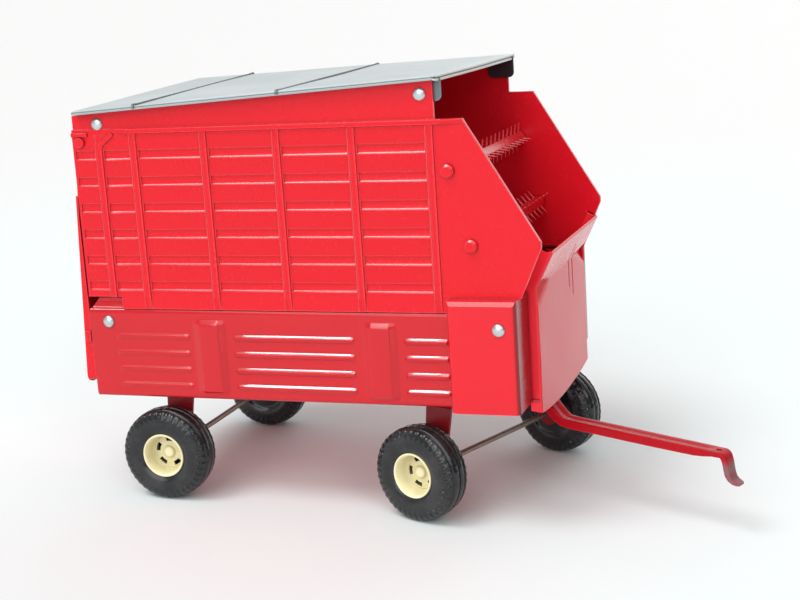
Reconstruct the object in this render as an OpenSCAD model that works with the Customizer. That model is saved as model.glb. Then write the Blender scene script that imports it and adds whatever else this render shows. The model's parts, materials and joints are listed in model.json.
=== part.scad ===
/* [Box] */
// Width over the two moulded side panels
box_w = 150; // [120:1:180]
// From the steering pivot back to the rear edge of the box
box_rear = 210; // [190:1:220]
// From the steering pivot forward to the nose of the side panels
nose_x = 52; // [46:1:60]
// Height of the underside of the bed
bed_z = 65.6; // [62:0.1:72]
// Height of the lower edge of the side panels
waist_z = 116.5; // [112:0.5:120]
// Height of the rail along the top of the ribbed panel
rail_z = 216.5; // [206:0.5:220]
// Underside of the roof edge at the rear
roof_rear_z = 225.4; // [223:0.1:230]
// Underside of the roof edge at the front
roof_front_z = 236.2; // [232:0.1:240]
// The box rides nose-up on the taller front bolster by this angle
box_pitch = 2.3; // [0:0.1:3]
// Thickness of the pressed steel sheet
sheet = 1.2; // [1:0.1:1.5]
// Thickness of the moulded side panels
panel_t = 2.4; // [2:0.1:3]

/* [Ribs and grooves] */
// Spacing of the upright ribs on the side panels
rib_pitch = 42.1; // [38:0.1:44]
// Spacing of the long recessed grooves
groove_pitch = 14.54; // [12:0.1:15]
// Height of one groove
groove_h = 5.2; // [3:0.1:7]

/* [Roof] */
// Width of the roof sheet
roof_w = 156; // [153:1:160]
// Spacing of the raised roof seams
seam_pitch = 84; // [70:1:90]

/* [Front hopper] */
// Width of the front hopper
hopper_w = 113; // [100:1:114]
// Face of the front hopper ahead of the steering pivot
hopper_x = 44.6; // [43:0.1:46]
// Lower edge of the front hopper at its ends
hopper_bottom = 59.5; // [58:0.5:62]
// How far the corner covers stand out over the box sides
cover_out = 9; // [6:0.5:10]

/* [Running gear] */
// Outer diameter of the tyres
tyre_d = 52; // [48:0.5:54]
// Width of the tyres
tyre_w = 18.5; // [16:0.5:19]
// Diameter of the rim flange
rim_d = 25; // [22:0.5:27]
// Distance between the wheel centres of one axle
track = 138.6; // [136:0.1:142]
// Distance between the axles
wheelbase = 171.5; // [165:0.5:176]
// Diameter of the axle rods
axle_d = 3.2; // [3:0.1:3.4]
// Angle at which the front axle is turned to the right
steer_angle = 19; // [0:1:30]
// Distance from the steering pivot to the hitch pin hole
hitch_reach = 140; // [120:0.5:150]
// Width of the tongue channel
tongue_w = 10.4; // [9:0.2:12]
// Diameter of the hitch pin hole
hitch_d = 3.6; // [3:0.1:4]

/* [Beaters and tailgate] */
// Radius swept by the beater teeth
beater_r = 8.5; // [7:0.5:9]
// Spacing of the beater teeth
tooth_pitch = 8.6; // [6:0.1:10]
// Lower edge of the tailgate
tailgate_bottom = 73; // [70:1:78]

/* [Hidden] */
$fn = 48;
eps = 0.01;

plastic_red = [0.93, 0.12, 0.17];
steel_red = [0.82, 0.13, 0.17];
dark_red = [0.55, 0.07, 0.09];
roof_grey = [0.74, 0.79, 0.81];
cream = [0.95, 0.93, 0.78];
rubber_black = [0.13, 0.13, 0.14];
bare_steel = [0.55, 0.50, 0.47];
rivet_silver = [0.75, 0.78, 0.80];

// Side panel planes, as distances from the centre line
half_w = box_w / 2;
rib_out = 1;
panel_out = half_w - rib_out;
panel_in = panel_out - panel_t;
band_out = panel_out - 0.6;
groove_deep = 0.9;
rib_w = 3.6;
rail_h = 2.6;
front_rib_x = -3.1;
side_rear_x = 1 - box_rear;
rail_front_x = 14.4;
ribbed_rear_x = side_rear_x + 22;
rear_step = 7;
nose_top_z = 153.7;
nose_bottom_z = 150.5;
chin_x = 40.5;
chin_z = 124.6;
first_groove_z = rail_z - 11.7;
bar_gap = 0.08;

// Bed
bed_out = panel_out - 0.4;
bed_top_z = 122.4;
bed_front_x = hopper_x - sheet;
louvre_top_z = 100.9;
louvre_pitch = 9.27;
louvre_r = 1.7;
louvre_sunk = 0.7;

// Roof
roof_front_x = 1.6;
roof_rear_x = 5 - box_rear;
roof_lip = 2.2;
roof_run = roof_front_x - roof_rear_x;
roof_tilt = atan2(roof_front_z - roof_rear_z, roof_run);
lug_w = 15.5;
lug_drop = 11;
front_lug_x = -4.2;
rear_lug_x = -192.7;
roof_rivet_front = [-7.3, 229.1];
roof_rivet_rear = [-192.7, 219.3];
rivet_r = 3.4;
shank_r = 1.5;

// Front end
cover_rear_x = 3;
cover_front_x = 39.6;
wall_front_x = cover_front_x - sheet - 0.1;
cover_top_z = 124.5;
cover_bevel = 1.4;
cover_rivet = [30.4, 110.2];
bed_rivet = [-198.2, 109.1];
lip_x = 53.3;
lip_z = 144;
bend_z = 126.5;
cheek_depth = 6.1;
hopper_bow = 3.6;

// Beaters: both axes lie on one slanted line
beater_hi = [5.6, 190.3];
beater_lo = [15.8, 151.8];
shaft_r = 1.5;
cap_r = 3.4;
core_w = 5;
reel_half = panel_in - 1.2;
tooth_w = 1.5;
tooth_t = 1.3;

// Tailgate
pin_x = 6 - box_rear;
pin_z = rail_z - 6.9;
pin_r = 1.4;
gate_top_z = pin_z + 2.4;
gate_top_x = 0.7 - box_rear;
gate_low_x = -box_rear - 6.3;
gate_half = bed_out - 0.4;
gate_neck = panel_in - 0.4;
neck_z = 180;

// Running gear
tyre_r = tyre_d / 2;
axle_r = axle_d / 2;
axle_half = track / 2 + 0.5;
leg_top = 52;
leg_foot = 57.2;
leg_w = 14;
foot_r = 7;
bracket_top_z = 60;
kingpin_r = 2;
tongue_z_rear = 46.8;
tongue_z_front = 45;
tongue_flange = 3.3;
hitch_from = hitch_reach - 8;
tip_reach = hitch_reach + 12.63;
rim_r = rim_d / 2;
rear_axle_x = -wheelbase;
plate_x = rear_axle_x - 2.6;

// The origin is on the floor, under the middle of the whole wagon
gate_tail = -gate_low_x * cos(box_pitch) + tailgate_bottom * sin(box_pitch);
gate_slope = (gate_low_x - gate_top_x) / (tailgate_bottom - gate_top_z);
gate_rib_z = 200;
gate_rib_h = 1.8;
gate_rib_x = gate_top_x + (gate_rib_z + gate_rib_h - gate_top_z) * gate_slope - 0.8;
gate_head = -gate_rib_x * cos(box_pitch) + (gate_rib_z + gate_rib_h) * sin(box_pitch);
rear_reach = max(gate_tail, gate_head);
front_reach = tip_reach * cos(steer_angle) + (tongue_w / 2 - 1) * sin(steer_angle);
pivot_x = (rear_reach - front_reach) / 2;

// Frames: the box is tilted about the point under the steering pivot, the steered parts are turned
module box_frame() {
    translate([pivot_x, 0, 0]) rotate([0, -box_pitch, 0]) children();
}
module steered_frame() {
    translate([pivot_x, 0, 0]) rotate([0, 0, -steer_angle]) children();
}
module rear_frame() {
    translate([pivot_x + rear_axle_x, 0, 0]) children();
}
// Extrudes a side-view shape, x to the front and y up, between two distances across the wagon
module across(from_y, to_y) {
    translate([0, to_y, 0]) rotate([90, 0, 0]) linear_extrude(to_y - from_y) children();
}
module box_at(x0, x1, y0, y1, z0, z1) {
    translate([x0, y0, z0]) cube([x1 - x0, y1 - y0, z1 - z0]);
}
// A rod across the wagon
module cross_rod(x, z, r, from_y, to_y) {
    translate([x, to_y, z]) rotate([90, 0, 0]) cylinder(r = r, h = to_y - from_y);
}
// Side mirrors: s = -1 is the right side, s = 1 the left side
module on_side(s) {
    if (s > 0) children();
    else mirror([0, 1, 0]) children();
}
// A bent strip in the side view: one outline with mitred corners
function run_normal(points, i) =
    let (d = points[i + 1] - points[i])
    [-d[1], d[0]] / norm(d);
function mitre(points, i) =
    i == 0 ? run_normal(points, 0) :
    i == len(points) - 1 ? run_normal(points, i - 1) :
    let (a = run_normal(points, i - 1), b = run_normal(points, i))
    (a + b) / (1 + a * b);
module bent_strip(points, t) {
    last = len(points) - 1;
    polygon(concat(
        [for (i = [0 : last]) points[i] + mitre(points, i) * t / 2],
        [for (i = [last : -1 : 0]) points[i] - mitre(points, i) * t / 2]
    ));
}
// Domed rivet across the wagon, head outside at the plane head_y, tail inside
module dome_rivet(x, z, head_y, grip) {
    dome_r = 4.1;
    dome_h = dome_r - sqrt(dome_r * dome_r - rivet_r * rivet_r);
    translate([x, head_y, z]) rotate([-90, 0, 0]) {
        intersection() {
            translate([0, 0, dome_h - dome_r]) sphere(r = dome_r);
            cylinder(r = rivet_r, h = dome_h + 1);
        }
        translate([0, 0, -grip]) cylinder(r = shank_r, h = grip + eps);
        translate([0, 0, -grip - 0.8]) cylinder(r = shank_r + 0.8, h = 0.8);
    }
}

// Bed: floor, two louvred walls stepped in at the top, bends at the lower edges
module bed_section() {
    bend = 2.4;
    difference() {
        union() {
            polygon([
                [-bed_out + bend, bed_z], [bed_out - bend, bed_z], [bed_out, bed_z + bend],
                [bed_out, 113.2], [panel_in, waist_z], [panel_in, bed_top_z],
                [-panel_in, bed_top_z], [-panel_in, waist_z], [-bed_out, 113.2], [-bed_out, bed_z + bend]
            ]);
            for (s = [-1, 1]) translate([s * (bed_out - bend), bed_z + bend]) circle(r = bend);
        }
        polygon([
            [-bed_out + sheet, bed_z + sheet], [bed_out - sheet, bed_z + sheet],
            [bed_out - sheet, 113], [panel_in - sheet, waist_z], [panel_in - sheet, bed_top_z + 1],
            [-panel_in + sheet, bed_top_z + 1], [-panel_in + sheet, waist_z], [-bed_out + sheet, 113]
        ]);
    }
}
module louvre(x0, x1, z) {
    translate([x0 + louvre_r, bed_out - louvre_sunk, z]) sphere(r = louvre_r, $fn = 24);
    translate([x1 - louvre_r, bed_out - louvre_sunk, z]) sphere(r = louvre_r, $fn = 24);
    translate([x0 + louvre_r, bed_out - louvre_sunk, z]) rotate([0, 90, 0])
        cylinder(r = louvre_r, h = x1 - x0 - 2 * louvre_r, $fn = 24);
}
// Pressed upright with sloping flanks and a sloping head
module pressed_post(x0, x1) {
    flank = 3.4;
    raised = 1.5;
    base_z = bed_z + 2.6;
    head_z = 111;
    intersection() {
        translate([0, 0, base_z]) linear_extrude(head_z - base_z) polygon([
            [x0, bed_out - 0.6], [x0 + 0.6, bed_out], [x0 + flank, bed_out + raised],
            [x1 - flank, bed_out + raised], [x1 - 0.6, bed_out], [x1, bed_out - 0.6]
        ]);
        translate([x0 - 1, 0, 0]) rotate([90, 0, 90]) linear_extrude(x1 - x0 + 2) polygon([
            [bed_out - 0.6, base_z], [bed_out + 0.1, base_z], [bed_out + raised, base_z + 2],
            [bed_out + raised, head_z - 3], [bed_out, head_z], [bed_out - 0.6, head_z]
        ]);
    }
}
module bed_wall_detail() {
    for (row = [0 : 3]) {
        z = louvre_top_z - row * louvre_pitch;
        louvre(-194, -148.5, z);
        louvre(-122, -51.4, z);
        louvre(-23.8, 1, z);
    }
    pressed_post(-145.4, -126.6);
    pressed_post(-46, -27.6);
    translate([-206, bed_out, 108]) rotate([-90, 0, 0]) cylinder(r = 1.2, h = 0.6, $fn = 24);
}
module bed_pan() {
    color(steel_red) difference() {
        box_frame() bed_pan_level();
        translate([pivot_x, 0, 0]) cylinder(r = kingpin_r, h = 2 * bed_z);
    }
}
module bed_pan_level() {
    difference() {
        union() {
            translate([-box_rear, 0, 0]) rotate([90, 0, 90])
                linear_extrude(bed_front_x + box_rear) bed_section();
            for (s = [-1, 1]) on_side(s) intersection() {
                bed_wall_detail();
                box_at(-box_rear, 10, bed_out - 0.6, bed_out + 4, 60, 115);
            }
            // cross ribs pressed up in the floor
            for (x = [-130, -90, -50]) box_at(x - 3, x + 3, -60, 60, bed_z + sheet - eps, bed_z + sheet + 1);
        }
        // chamfered rear top corners and the rear latch holes
        across(-half_w, half_w) polygon([
            [-box_rear - 1, 116.5], [-box_rear + 6.4, 123.4], [-box_rear - 1, 123.4]
        ]);
        for (z = [91.8, 100.5]) cross_rod(-box_rear + 2.6, z, 0.8, -half_w, half_w);
        // front corners of the walls are cut back behind the corner covers
        for (s = [-1, 1]) on_side(s)
            box_at(wall_front_x, hopper_x + 1, hopper_w / 2 + 0.6, half_w, bed_z - 1, bed_top_z + 1);
        // discharge opening in the left wall
        box_at(10, 33, bed_out - 3, bed_out + 1, 74, 106);
        for (s = [-1, 1]) on_side(s) {
            cross_rod(bed_rivet[0], bed_rivet[1], shank_r, bed_out - 4, half_w);
            cross_rod(cover_rivet[0], cover_rivet[1], shank_r, bed_out - 4, half_w);
        }
        for (x = [-6, 6]) for (s = [-1, 1])
            translate([plate_x + x, s * 30, bed_z - 1]) cylinder(r = shank_r, h = 4);
    }
}

// Moulded side panel with rail, ribs, grooves and the sloping nose
module panel_outline() {
    polygon([
        [side_rear_x, waist_z + rear_step], [ribbed_rear_x - 1, waist_z + rear_step],
        [ribbed_rear_x - 1, waist_z], [cover_rear_x + 34, waist_z], [chin_x, chin_z],
        [nose_x, nose_bottom_z], [nose_x, nose_top_z], [rail_front_x, rail_z], [side_rear_x, rail_z]
    ]);
}
module band_outline() {
    slope = (roof_front_z - roof_rear_z) / roof_run;
    polygon([
        [side_rear_x + 1, rail_z - 5], [0, rail_z - 5], [0, roof_front_z - 0.1],
        [roof_rear_x, roof_rear_z - 0.1], [side_rear_x + 1, roof_rear_z - 0.1 - 4 * slope - 1.5]
    ]);
}
module rib(x, z0, z1) {
    root = rib_w / 2 + 0.4;
    crest = rib_w / 2 - 0.4;
    translate([x, 0, z0]) linear_extrude(z1 - z0) polygon([
        [-root, panel_out - 0.5], [-root, panel_out], [-crest, half_w],
        [crest, half_w], [root, panel_out], [root, panel_out - 0.5]
    ]);
}
module panel_ribs() {
    rib_foot = waist_z + 0.3;
    rib_head = rail_z - rail_h;
    for (i = [0 : 4]) {
        x = front_rib_x - i * rib_pitch;
        rib(x, rib_foot, rib_head);
    }
    // half bay at the rear ends in a rib with a slanted brace at its head
    x = front_rib_x - 4.5 * rib_pitch;
    rib(x, rib_foot + rear_step, rib_head - 6);
    across(panel_out - 0.5, half_w) bent_strip([[x, rib_head - 7], [x + 9, rib_head]], 2.2);
    // rail along the top and the short rail stub at the rear
    box_at(ribbed_rear_x, rail_front_x + 0.6, panel_out - 0.5, half_w + 0.4, rail_z - rail_h, rail_z);
    box_at(side_rear_x, side_rear_x + 10, panel_out - 0.5, half_w, rail_z - 3.9, rail_z - 1.6);
}
module panel_grooves() {
    root = rib_w / 2 + 0.4;
    half_bay_x = front_rib_x - 4.5 * rib_pitch;
    for (row = [0 : 5]) {
        z = first_groove_z - row * groove_pitch;
        for (bay = [0 : 3]) {
            x = front_rib_x - bay * rib_pitch;
            groove(x - rib_pitch + root, x - root, z);
        }
        groove(half_bay_x + root, half_bay_x + rib_pitch / 2 - root, z);
        groove(side_rear_x + 1.2, half_bay_x - root, z);
    }
}
// One recessed groove with a square upper edge and a sloping lower edge
module groove(x0, x1, z) {
    translate([x0, 0, 0]) rotate([90, 0, 90]) linear_extrude(x1 - x0) polygon([
        [panel_out + 1, z], [panel_out - groove_deep, z], [panel_out - groove_deep, z - groove_h + 1.2],
        [panel_out, z - groove_h], [panel_out + 1, z - groove_h]
    ]);
}
module side_panel(s) {
    color(plastic_red) box_frame() on_side(s) difference() {
        union() {
            across(panel_in, panel_out) panel_outline();
            across(panel_in, band_out) band_outline();
            panel_ribs();
        }
        panel_grooves();
        for (b = [beater_hi, beater_lo])
            cross_rod(b[0], b[1], shaft_r + bar_gap, panel_in - 1, half_w + 1);
        cross_rod(pin_x, pin_z, pin_r + bar_gap, panel_in - 1, half_w + 1);
        for (b = [roof_rivet_front, roof_rivet_rear])
            cross_rod(b[0], b[1], shank_r, panel_in - 1, half_w + 1);
        cross_rod(roof_rivet_rear[0], roof_rivet_rear[1], rivet_r + 0.3, band_out, half_w + 1);
        // room for the bed's stepped wall and for the front corner covers
        box_at(cover_rear_x, nose_x, panel_in - 1, half_w + 1, waist_z - 1, cover_top_z + 0.01);
    }
}
module side_panel_right() { side_panel(-1); }
module side_panel_left() { side_panel(1); }

// Roof: sloping sheet with turned-down edges, three seams and four lugs riveted inside the panels
module roof_tab(x, z_low, z_high) {
    corner = 2.5;
    across(panel_in - sheet, panel_in) union() {
        translate([x - lug_w / 2, z_low + corner]) square([lug_w, z_high - z_low - corner]);
        translate([x - lug_w / 2 + corner, z_low]) square([lug_w - 2 * corner, corner + 1]);
        for (dx = [corner, lug_w - corner])
            translate([x - lug_w / 2 + dx, z_low + corner]) circle(r = corner);
    }
}
module roof() {
    seam_h = 1.1;
    seam_w = 1.5;
    half_r = roof_w / 2;
    color(roof_grey) box_frame() {
        translate([roof_rear_x, 0, roof_rear_z]) rotate([0, -roof_tilt, 0]) {
            length = roof_run / cos(roof_tilt);
            difference() {
                box_at(0, length, -half_r, half_r, 0, roof_lip);
                box_at(sheet, length - sheet, -half_r + sheet, half_r - sheet, -1, roof_lip - sheet);
                // the sheet rests on the panels: the lip is notched over them
                for (s = [-1, 1]) on_side(s)
                    box_at(-1, 4, panel_in - 1, half_r - sheet, -1, roof_lip - sheet);
            }
            for (i = [0 : 2]) {
                x = length - seam_w / 2 - i * seam_pitch;
                translate([x, half_r + 0.4, roof_lip]) rotate([90, 0, 0])
                    cylinder(r = seam_w / 2, h = roof_w + 0.8, $fn = 24);
                for (s = [-1, 1]) translate([x, s * (half_r - 0.4), roof_lip]) sphere(r = seam_h, $fn = 24);
            }
        }
        for (s = [-1, 1]) on_side(s) difference() {
            union() {
                roof_tab(front_lug_x, roof_front_z - lug_drop, roof_front_z + 1.4);
                roof_tab(rear_lug_x, roof_rear_z - lug_drop + 1, roof_rear_z + 2.3);
            }
            for (b = [roof_rivet_front, roof_rivet_rear])
                cross_rod(b[0], b[1], shank_r, panel_in - 3, panel_in + 1);
        }
    }
}
module roof_rivets() {
    grip = band_out - panel_in + sheet;
    color(rivet_silver) box_frame() for (s = [-1, 1]) on_side(s) {
        dome_rivet(roof_rivet_front[0], roof_rivet_front[1], band_out, grip);
        dome_rivet(roof_rivet_rear[0], roof_rivet_rear[1], band_out, grip);
    }
}
module side_rivets() {
    cover_y = panel_out + cover_out;
    color(rivet_silver) box_frame() for (s = [-1, 1]) on_side(s) {
        dome_rivet(bed_rivet[0], bed_rivet[1], bed_out, sheet);
        dome_rivet(cover_rivet[0], cover_rivet[1], cover_y, cover_y - bed_out + sheet);
    }
}

// Corner covers: a pressed box over each front corner, open towards the bed
module cover_plan(x0, x1, y0, y1, corner) {
    polygon([[x0, y0], [x0, y1 - corner], [x0 + corner, y1], [x1 - corner, y1], [x1, y1 - corner], [x1, y0]]);
    for (x = [x0 + corner, x1 - corner]) translate([x, y1 - corner]) circle(r = corner);
}
module corner_cover_shell() {
    out_y = panel_out + cover_out;
    inner_y = hopper_w / 2 + 0.8;
    tall = cover_top_z - bed_z;
    difference() {
        union() {
            translate([0, 0, bed_z]) linear_extrude(tall)
                cover_plan(cover_rear_x, cover_front_x, bed_out, out_y, 3);
            box_at(cover_front_x - sheet, cover_front_x, inner_y, bed_out + 1, bed_z, cover_top_z);
        }
        translate([0, 0, bed_z - 1]) linear_extrude(tall + 1 - sheet)
            cover_plan(cover_rear_x + sheet, cover_front_x - sheet, bed_out - 1, out_y - sheet, 1.8);
        // sloping upper edge
        translate([cover_rear_x - 1, 0, 0]) rotate([90, 0, 90]) linear_extrude(60) polygon([
            [out_y - cover_bevel, cover_top_z + 0.01], [out_y + 1, cover_top_z + 0.01],
            [out_y + 1, cover_top_z - 2], [out_y - 0.4, cover_top_z - 2]
        ]);
        cross_rod(cover_rivet[0], cover_rivet[1], shank_r, out_y - 3, out_y + 1);
    }
}
module corner_cover_right() {
    color(steel_red) box_frame() on_side(-1) corner_cover_shell();
}
// The left cover carries the discharge opening
module discharge_cover_left() {
    out_y = panel_out + cover_out;
    color(steel_red) box_frame() difference() {
        corner_cover_shell();
        box_at(10, 33, bed_out - 1, out_y + 1, 74, 102);
    }
}

// Front hopper: upright face, leaning collar with a rolled lip, side cheeks
module hopper_side_view() {
    polygon([
        [hopper_x - cheek_depth, bed_z + sheet], [bed_front_x, bed_z + sheet], [bed_front_x, bed_z - 4.4],
        [hopper_x, hopper_bottom], [hopper_x, bend_z],
        [lip_x, lip_z], [lip_x - cheek_depth + 0.4, lip_z + 2.6], [hopper_x - cheek_depth, bend_z + 1.4]
    ]);
}
module front_hopper() {
    half_h = hopper_w / 2;
    lean = [lip_x - hopper_x, lip_z - bend_z];
    inner = hopper_x - sheet / 2;
    bow_r = (half_h * half_h + hopper_bow * hopper_bow) / (2 * hopper_bow);
    color(steel_red) box_frame() {
        // face and leaning collar
        across(-half_h, half_h) bent_strip([
            [inner, hopper_bottom + 1], [inner, bend_z], [inner + lean[0], bend_z + lean[1]]
        ], sheet);
        // bowed lower edge
        translate([hopper_x - sheet, 0, 0]) rotate([90, 0, 90]) linear_extrude(sheet) intersection() {
            translate([0, hopper_bottom - hopper_bow + bow_r]) circle(r = bow_r, $fn = 128);
            translate([-half_h, hopper_bottom - hopper_bow - 1]) square([hopper_w, hopper_bow + 3]);
        }
        // rolled lip
        translate([inner + lean[0], half_h, bend_z + lean[1]]) rotate([90, 0, 0])
            cylinder(r = 0.9, h = hopper_w, $fn = 24);
        // cheeks
        for (s = [-1, 1]) on_side(s) across(half_h - sheet, half_h) hopper_side_view();
        // pressed darts at the bend and two upright beads
        for (s = [-1, 1]) on_side(s) translate([hopper_x - 0.5, half_h - 1, bend_z - 6]) rotate([0, 90, 0])
            linear_extrude(1.3) polygon([[-6, 0], [6, 0], [0, -13]]);
        for (y = [18, 29]) box_at(hopper_x - 0.4, hopper_x + 0.8, y - 0.7, y + 0.7, 106, bend_z - 0.5);
    }
}

// Bolster under the bed: its top follows the tilted bed and its underside is level
module front_bolster() {
    half_x = 22;
    half_y = 34;
    color(dark_red) difference() {
        translate([pivot_x, 0, bracket_top_z + 0.2]) difference() {
            box_at(-half_x, half_x, -half_y, half_y, 0, 12);
            box_at(-half_x + sheet, half_x - sheet, -half_y + sheet, half_y - sheet, sheet, 13);
        }
        box_frame() box_at(-60, 60, -60, 60, bed_z, bed_z + 30);
        translate([pivot_x, 0, bracket_top_z - 1]) cylinder(r = kingpin_r, h = 4);
    }
}

// Tailgate: hung on two pins, ribs pressed across it
module gate_line(z0, z1, t) {
    x0 = gate_top_x + (z0 - gate_top_z) * gate_slope;
    x1 = gate_top_x + (z1 - gate_top_z) * gate_slope;
    polygon([[x0, z0], [x0 + t, z0], [x1 + t, z1], [x1, z1]]);
}
module tailgate() {
    rear_gap = -box_rear - 0.4;
    color(plastic_red) box_frame() {
        difference() {
            union() {
                across(-gate_neck, gate_neck) gate_line(tailgate_bottom, gate_top_z, sheet);
                across(-gate_half, gate_half) gate_line(tailgate_bottom, neck_z, sheet);
                // side flanges
                for (s = [-1, 1]) on_side(s) across(gate_half - sheet, gate_half) intersection() {
                    gate_line(tailgate_bottom, neck_z, 8);
                    translate([-box_rear - 20, 0]) square([20 + rear_gap + box_rear, 300]);
                }
                for (z = [96, 122, 148, 174, gate_rib_z])
                    across(-gate_neck + 8, gate_neck - 8) gate_line(z - gate_rib_h, z + gate_rib_h, -0.8);
            }
            // rounded lower corners
            for (s = [-1, 1]) on_side(s) difference() {
                box_at(gate_low_x - 3, rear_gap + 1, gate_half - 5, gate_half + 1, tailgate_bottom - 1,
                    tailgate_bottom + 5);
                cross_along_x(gate_low_x - 4, rear_gap + 2, gate_half - 5, tailgate_bottom + 5, 5);
            }
        }
        // ears that reach forward to the pins, and the latch tabs
        for (s = [-1, 1]) on_side(s) difference() {
            across(gate_neck - sheet, gate_neck) union() {
                translate([pin_x, pin_z]) circle(r = 3.4);
                polygon([
                    [pin_x, pin_z + 3.4], [gate_top_x + 0.4, gate_top_z], [gate_top_x + 0.1, pin_z - 6],
                    [pin_x, pin_z - 3.4]
                ]);
            }
            cross_rod(pin_x, pin_z, pin_r, gate_neck - 3, gate_neck + 1);
        }
        for (s = [-1, 1]) on_side(s)
            box_at(rear_gap - 3.4, rear_gap - 0.2, gate_half - eps, gate_half + 1, 97.5, 103.5);
    }
}
module cross_along_x(x0, x1, y, z, r) {
    translate([x0, y, z]) rotate([0, 90, 0]) cylinder(r = r, h = x1 - x0);
}
module tailgate_pins() {
    head_gap = 0.3;
    color(plastic_red) box_frame() for (s = [-1, 1]) on_side(s) {
        cross_rod(pin_x, pin_z, pin_r, gate_neck - sheet, half_w + head_gap);
        cross_rod(pin_x, pin_z, 2.7, half_w - rib_out + head_gap, half_w + 0.7);
    }
}

// Beaters: a steel shaft with moulded caps outside, and a toothed reel between the panels
module beater_shaft(at) {
    color(plastic_red) box_frame() {
        cross_rod(at[0], at[1], shaft_r, -half_w, half_w);
        for (s = [-1, 1]) on_side(s) {
            cross_rod(at[0], at[1], cap_r, panel_out + 0.3, half_w + 0.9);
            translate([at[0], half_w + 0.9, at[1]]) rotate([-90, 0, 0])
                cylinder(r1 = cap_r, r2 = cap_r - 1, h = 0.7);
        }
    }
}
// One row of teeth standing on the core, seen from the front
module tooth_comb() {
    teeth = floor((2 * reel_half - 4) / tooth_pitch);
    foot_z = core_w / 2 - 0.6;
    for (i = [0 : teeth]) translate([(i - teeth / 2) * tooth_pitch, 0])
        polygon([
            [-tooth_w / 2, foot_z], [tooth_w / 2, foot_z], [tooth_w / 4, beater_r], [-tooth_w / 4, beater_r]
        ]);
}
module beater_reel(at, turn) {
    rows = 4;
    color(plastic_red) box_frame() translate([at[0], 0, at[1]]) rotate([0, turn, 0]) difference() {
        union() {
            rotate([0, 45, 0])
                box_at(-core_w / 2, core_w / 2, -reel_half, reel_half, -core_w / 2, core_w / 2);
            for (row = [0 : rows - 1]) rotate([0, row * 360 / rows, 0]) rotate([0, 0, 90])
                translate([0, tooth_t / 2, 0]) rotate([90, 0, 0]) linear_extrude(tooth_t) tooth_comb();
        }
        cross_rod(0, 0, shaft_r, -half_w, half_w);
    }
}
module beater_upper_shaft() { beater_shaft(beater_hi); }
module beater_upper_reel() { beater_reel(beater_hi, 8); }
module beater_lower_shaft() { beater_shaft(beater_lo); }
module beater_lower_reel() { beater_reel(beater_lo, -40); }

// One splayed leg of an axle bracket, seen along the wagon, from the plate down past the axle
module leg_profile(top_z) {
    foot_z = tyre_r - foot_r;
    polygon([
        [leg_top - sheet, top_z - sheet], [leg_top - sheet, top_z], [leg_top, top_z],
        [leg_top + 1, top_z - 2], [leg_foot + sheet / 2, foot_z], [leg_foot - sheet / 2, foot_z],
        [leg_top - sheet / 2, top_z - 2.4]
    ]);
}
module leg_outline(top_z) {
    polygon([
        [-leg_w / 2 - 1.5, top_z + 3], [leg_w / 2 + 1.5, top_z + 3],
        [foot_r, tyre_r], [-foot_r, tyre_r]
    ]);
    translate([0, tyre_r]) circle(r = foot_r);
}
module axle_leg(s, top_z) {
    on_side(s) difference() {
        intersection() {
            translate([-leg_w, 0, 0]) rotate([90, 0, 90]) linear_extrude(2 * leg_w) leg_profile(top_z);
            across(leg_top - 3, leg_foot + 3) leg_outline(top_z);
        }
        cross_rod(0, tyre_r, axle_r, leg_top - 6, leg_foot + 6);
    }
}
// Rear bracket: its plate follows the tilted bed, its legs hang plumb
module rear_bracket() {
    plate_z = bed_z * cos(box_pitch) + (rear_axle_x - 2) * sin(box_pitch);
    color(dark_red) union() {
        difference() {
            union() {
                box_frame() box_at(plate_x - 11, plate_x + 11, -leg_top, leg_top, bed_z - sheet, bed_z);
                rear_frame() for (s = [-1, 1]) axle_leg(s, plate_z - 0.4);
            }
            box_frame() box_at(-box_rear, 0, -half_w, half_w, bed_z, bed_z + 5);
            box_frame() for (x = [-6, 6]) for (s = [-1, 1])
                translate([plate_x + x, s * 30, bed_z - 5]) cylinder(r = shank_r, h = 9);
        }
    }
}
module rear_bracket_rivets() {
    color(rivet_silver) box_frame() for (x = [-6, 6]) for (s = [-1, 1])
        translate([plate_x + x, s * 30, bed_z]) {
            translate([0, 0, -sheet]) cylinder(r = shank_r, h = 2 * sheet);
            translate([0, 0, sheet]) cylinder(r1 = 2.6, r2 = 1.8, h = 1);
            translate([0, 0, -sheet - 0.8]) cylinder(r = 2.3, h = 0.8);
        }
}
module axle_rod() {
    cross_rod(0, tyre_r, axle_r, -axle_half, axle_half);
}
module rear_axle() {
    color(bare_steel) rear_frame() axle_rod();
}
module front_axle() {
    color(bare_steel) steered_frame() axle_rod();
}

// Steered front bracket
module front_bracket() {
    top = bracket_top_z;
    color(dark_red) steered_frame() difference() {
        union() {
            box_at(-leg_w / 2, leg_w / 2, -leg_top, leg_top, top - sheet, top);
            box_at(-11, 11, -20, 20, top - sheet, top);
            for (s = [-1, 1]) axle_leg(s, top);
        }
        translate([0, 0, top - 3]) cylinder(r = kingpin_r + bar_gap, h = 6);
        for (s = [-1, 1]) translate([0, s * 7, top - 3]) cylinder(r = shank_r, h = 6);
    }
}
module kingpin() {
    top = bed_z + sheet + 0.3;
    low = bracket_top_z - 2 * sheet - 0.3;
    color(rivet_silver) translate([pivot_x, 0, 0]) {
        translate([0, 0, low]) cylinder(r = kingpin_r, h = top - low);
        translate([0, 0, low - 1.2]) cylinder(r = 4.2, h = 1.2);
        translate([0, 0, top]) cylinder(r1 = 4.2, r2 = 3, h = 1.2);
    }
}

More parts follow.
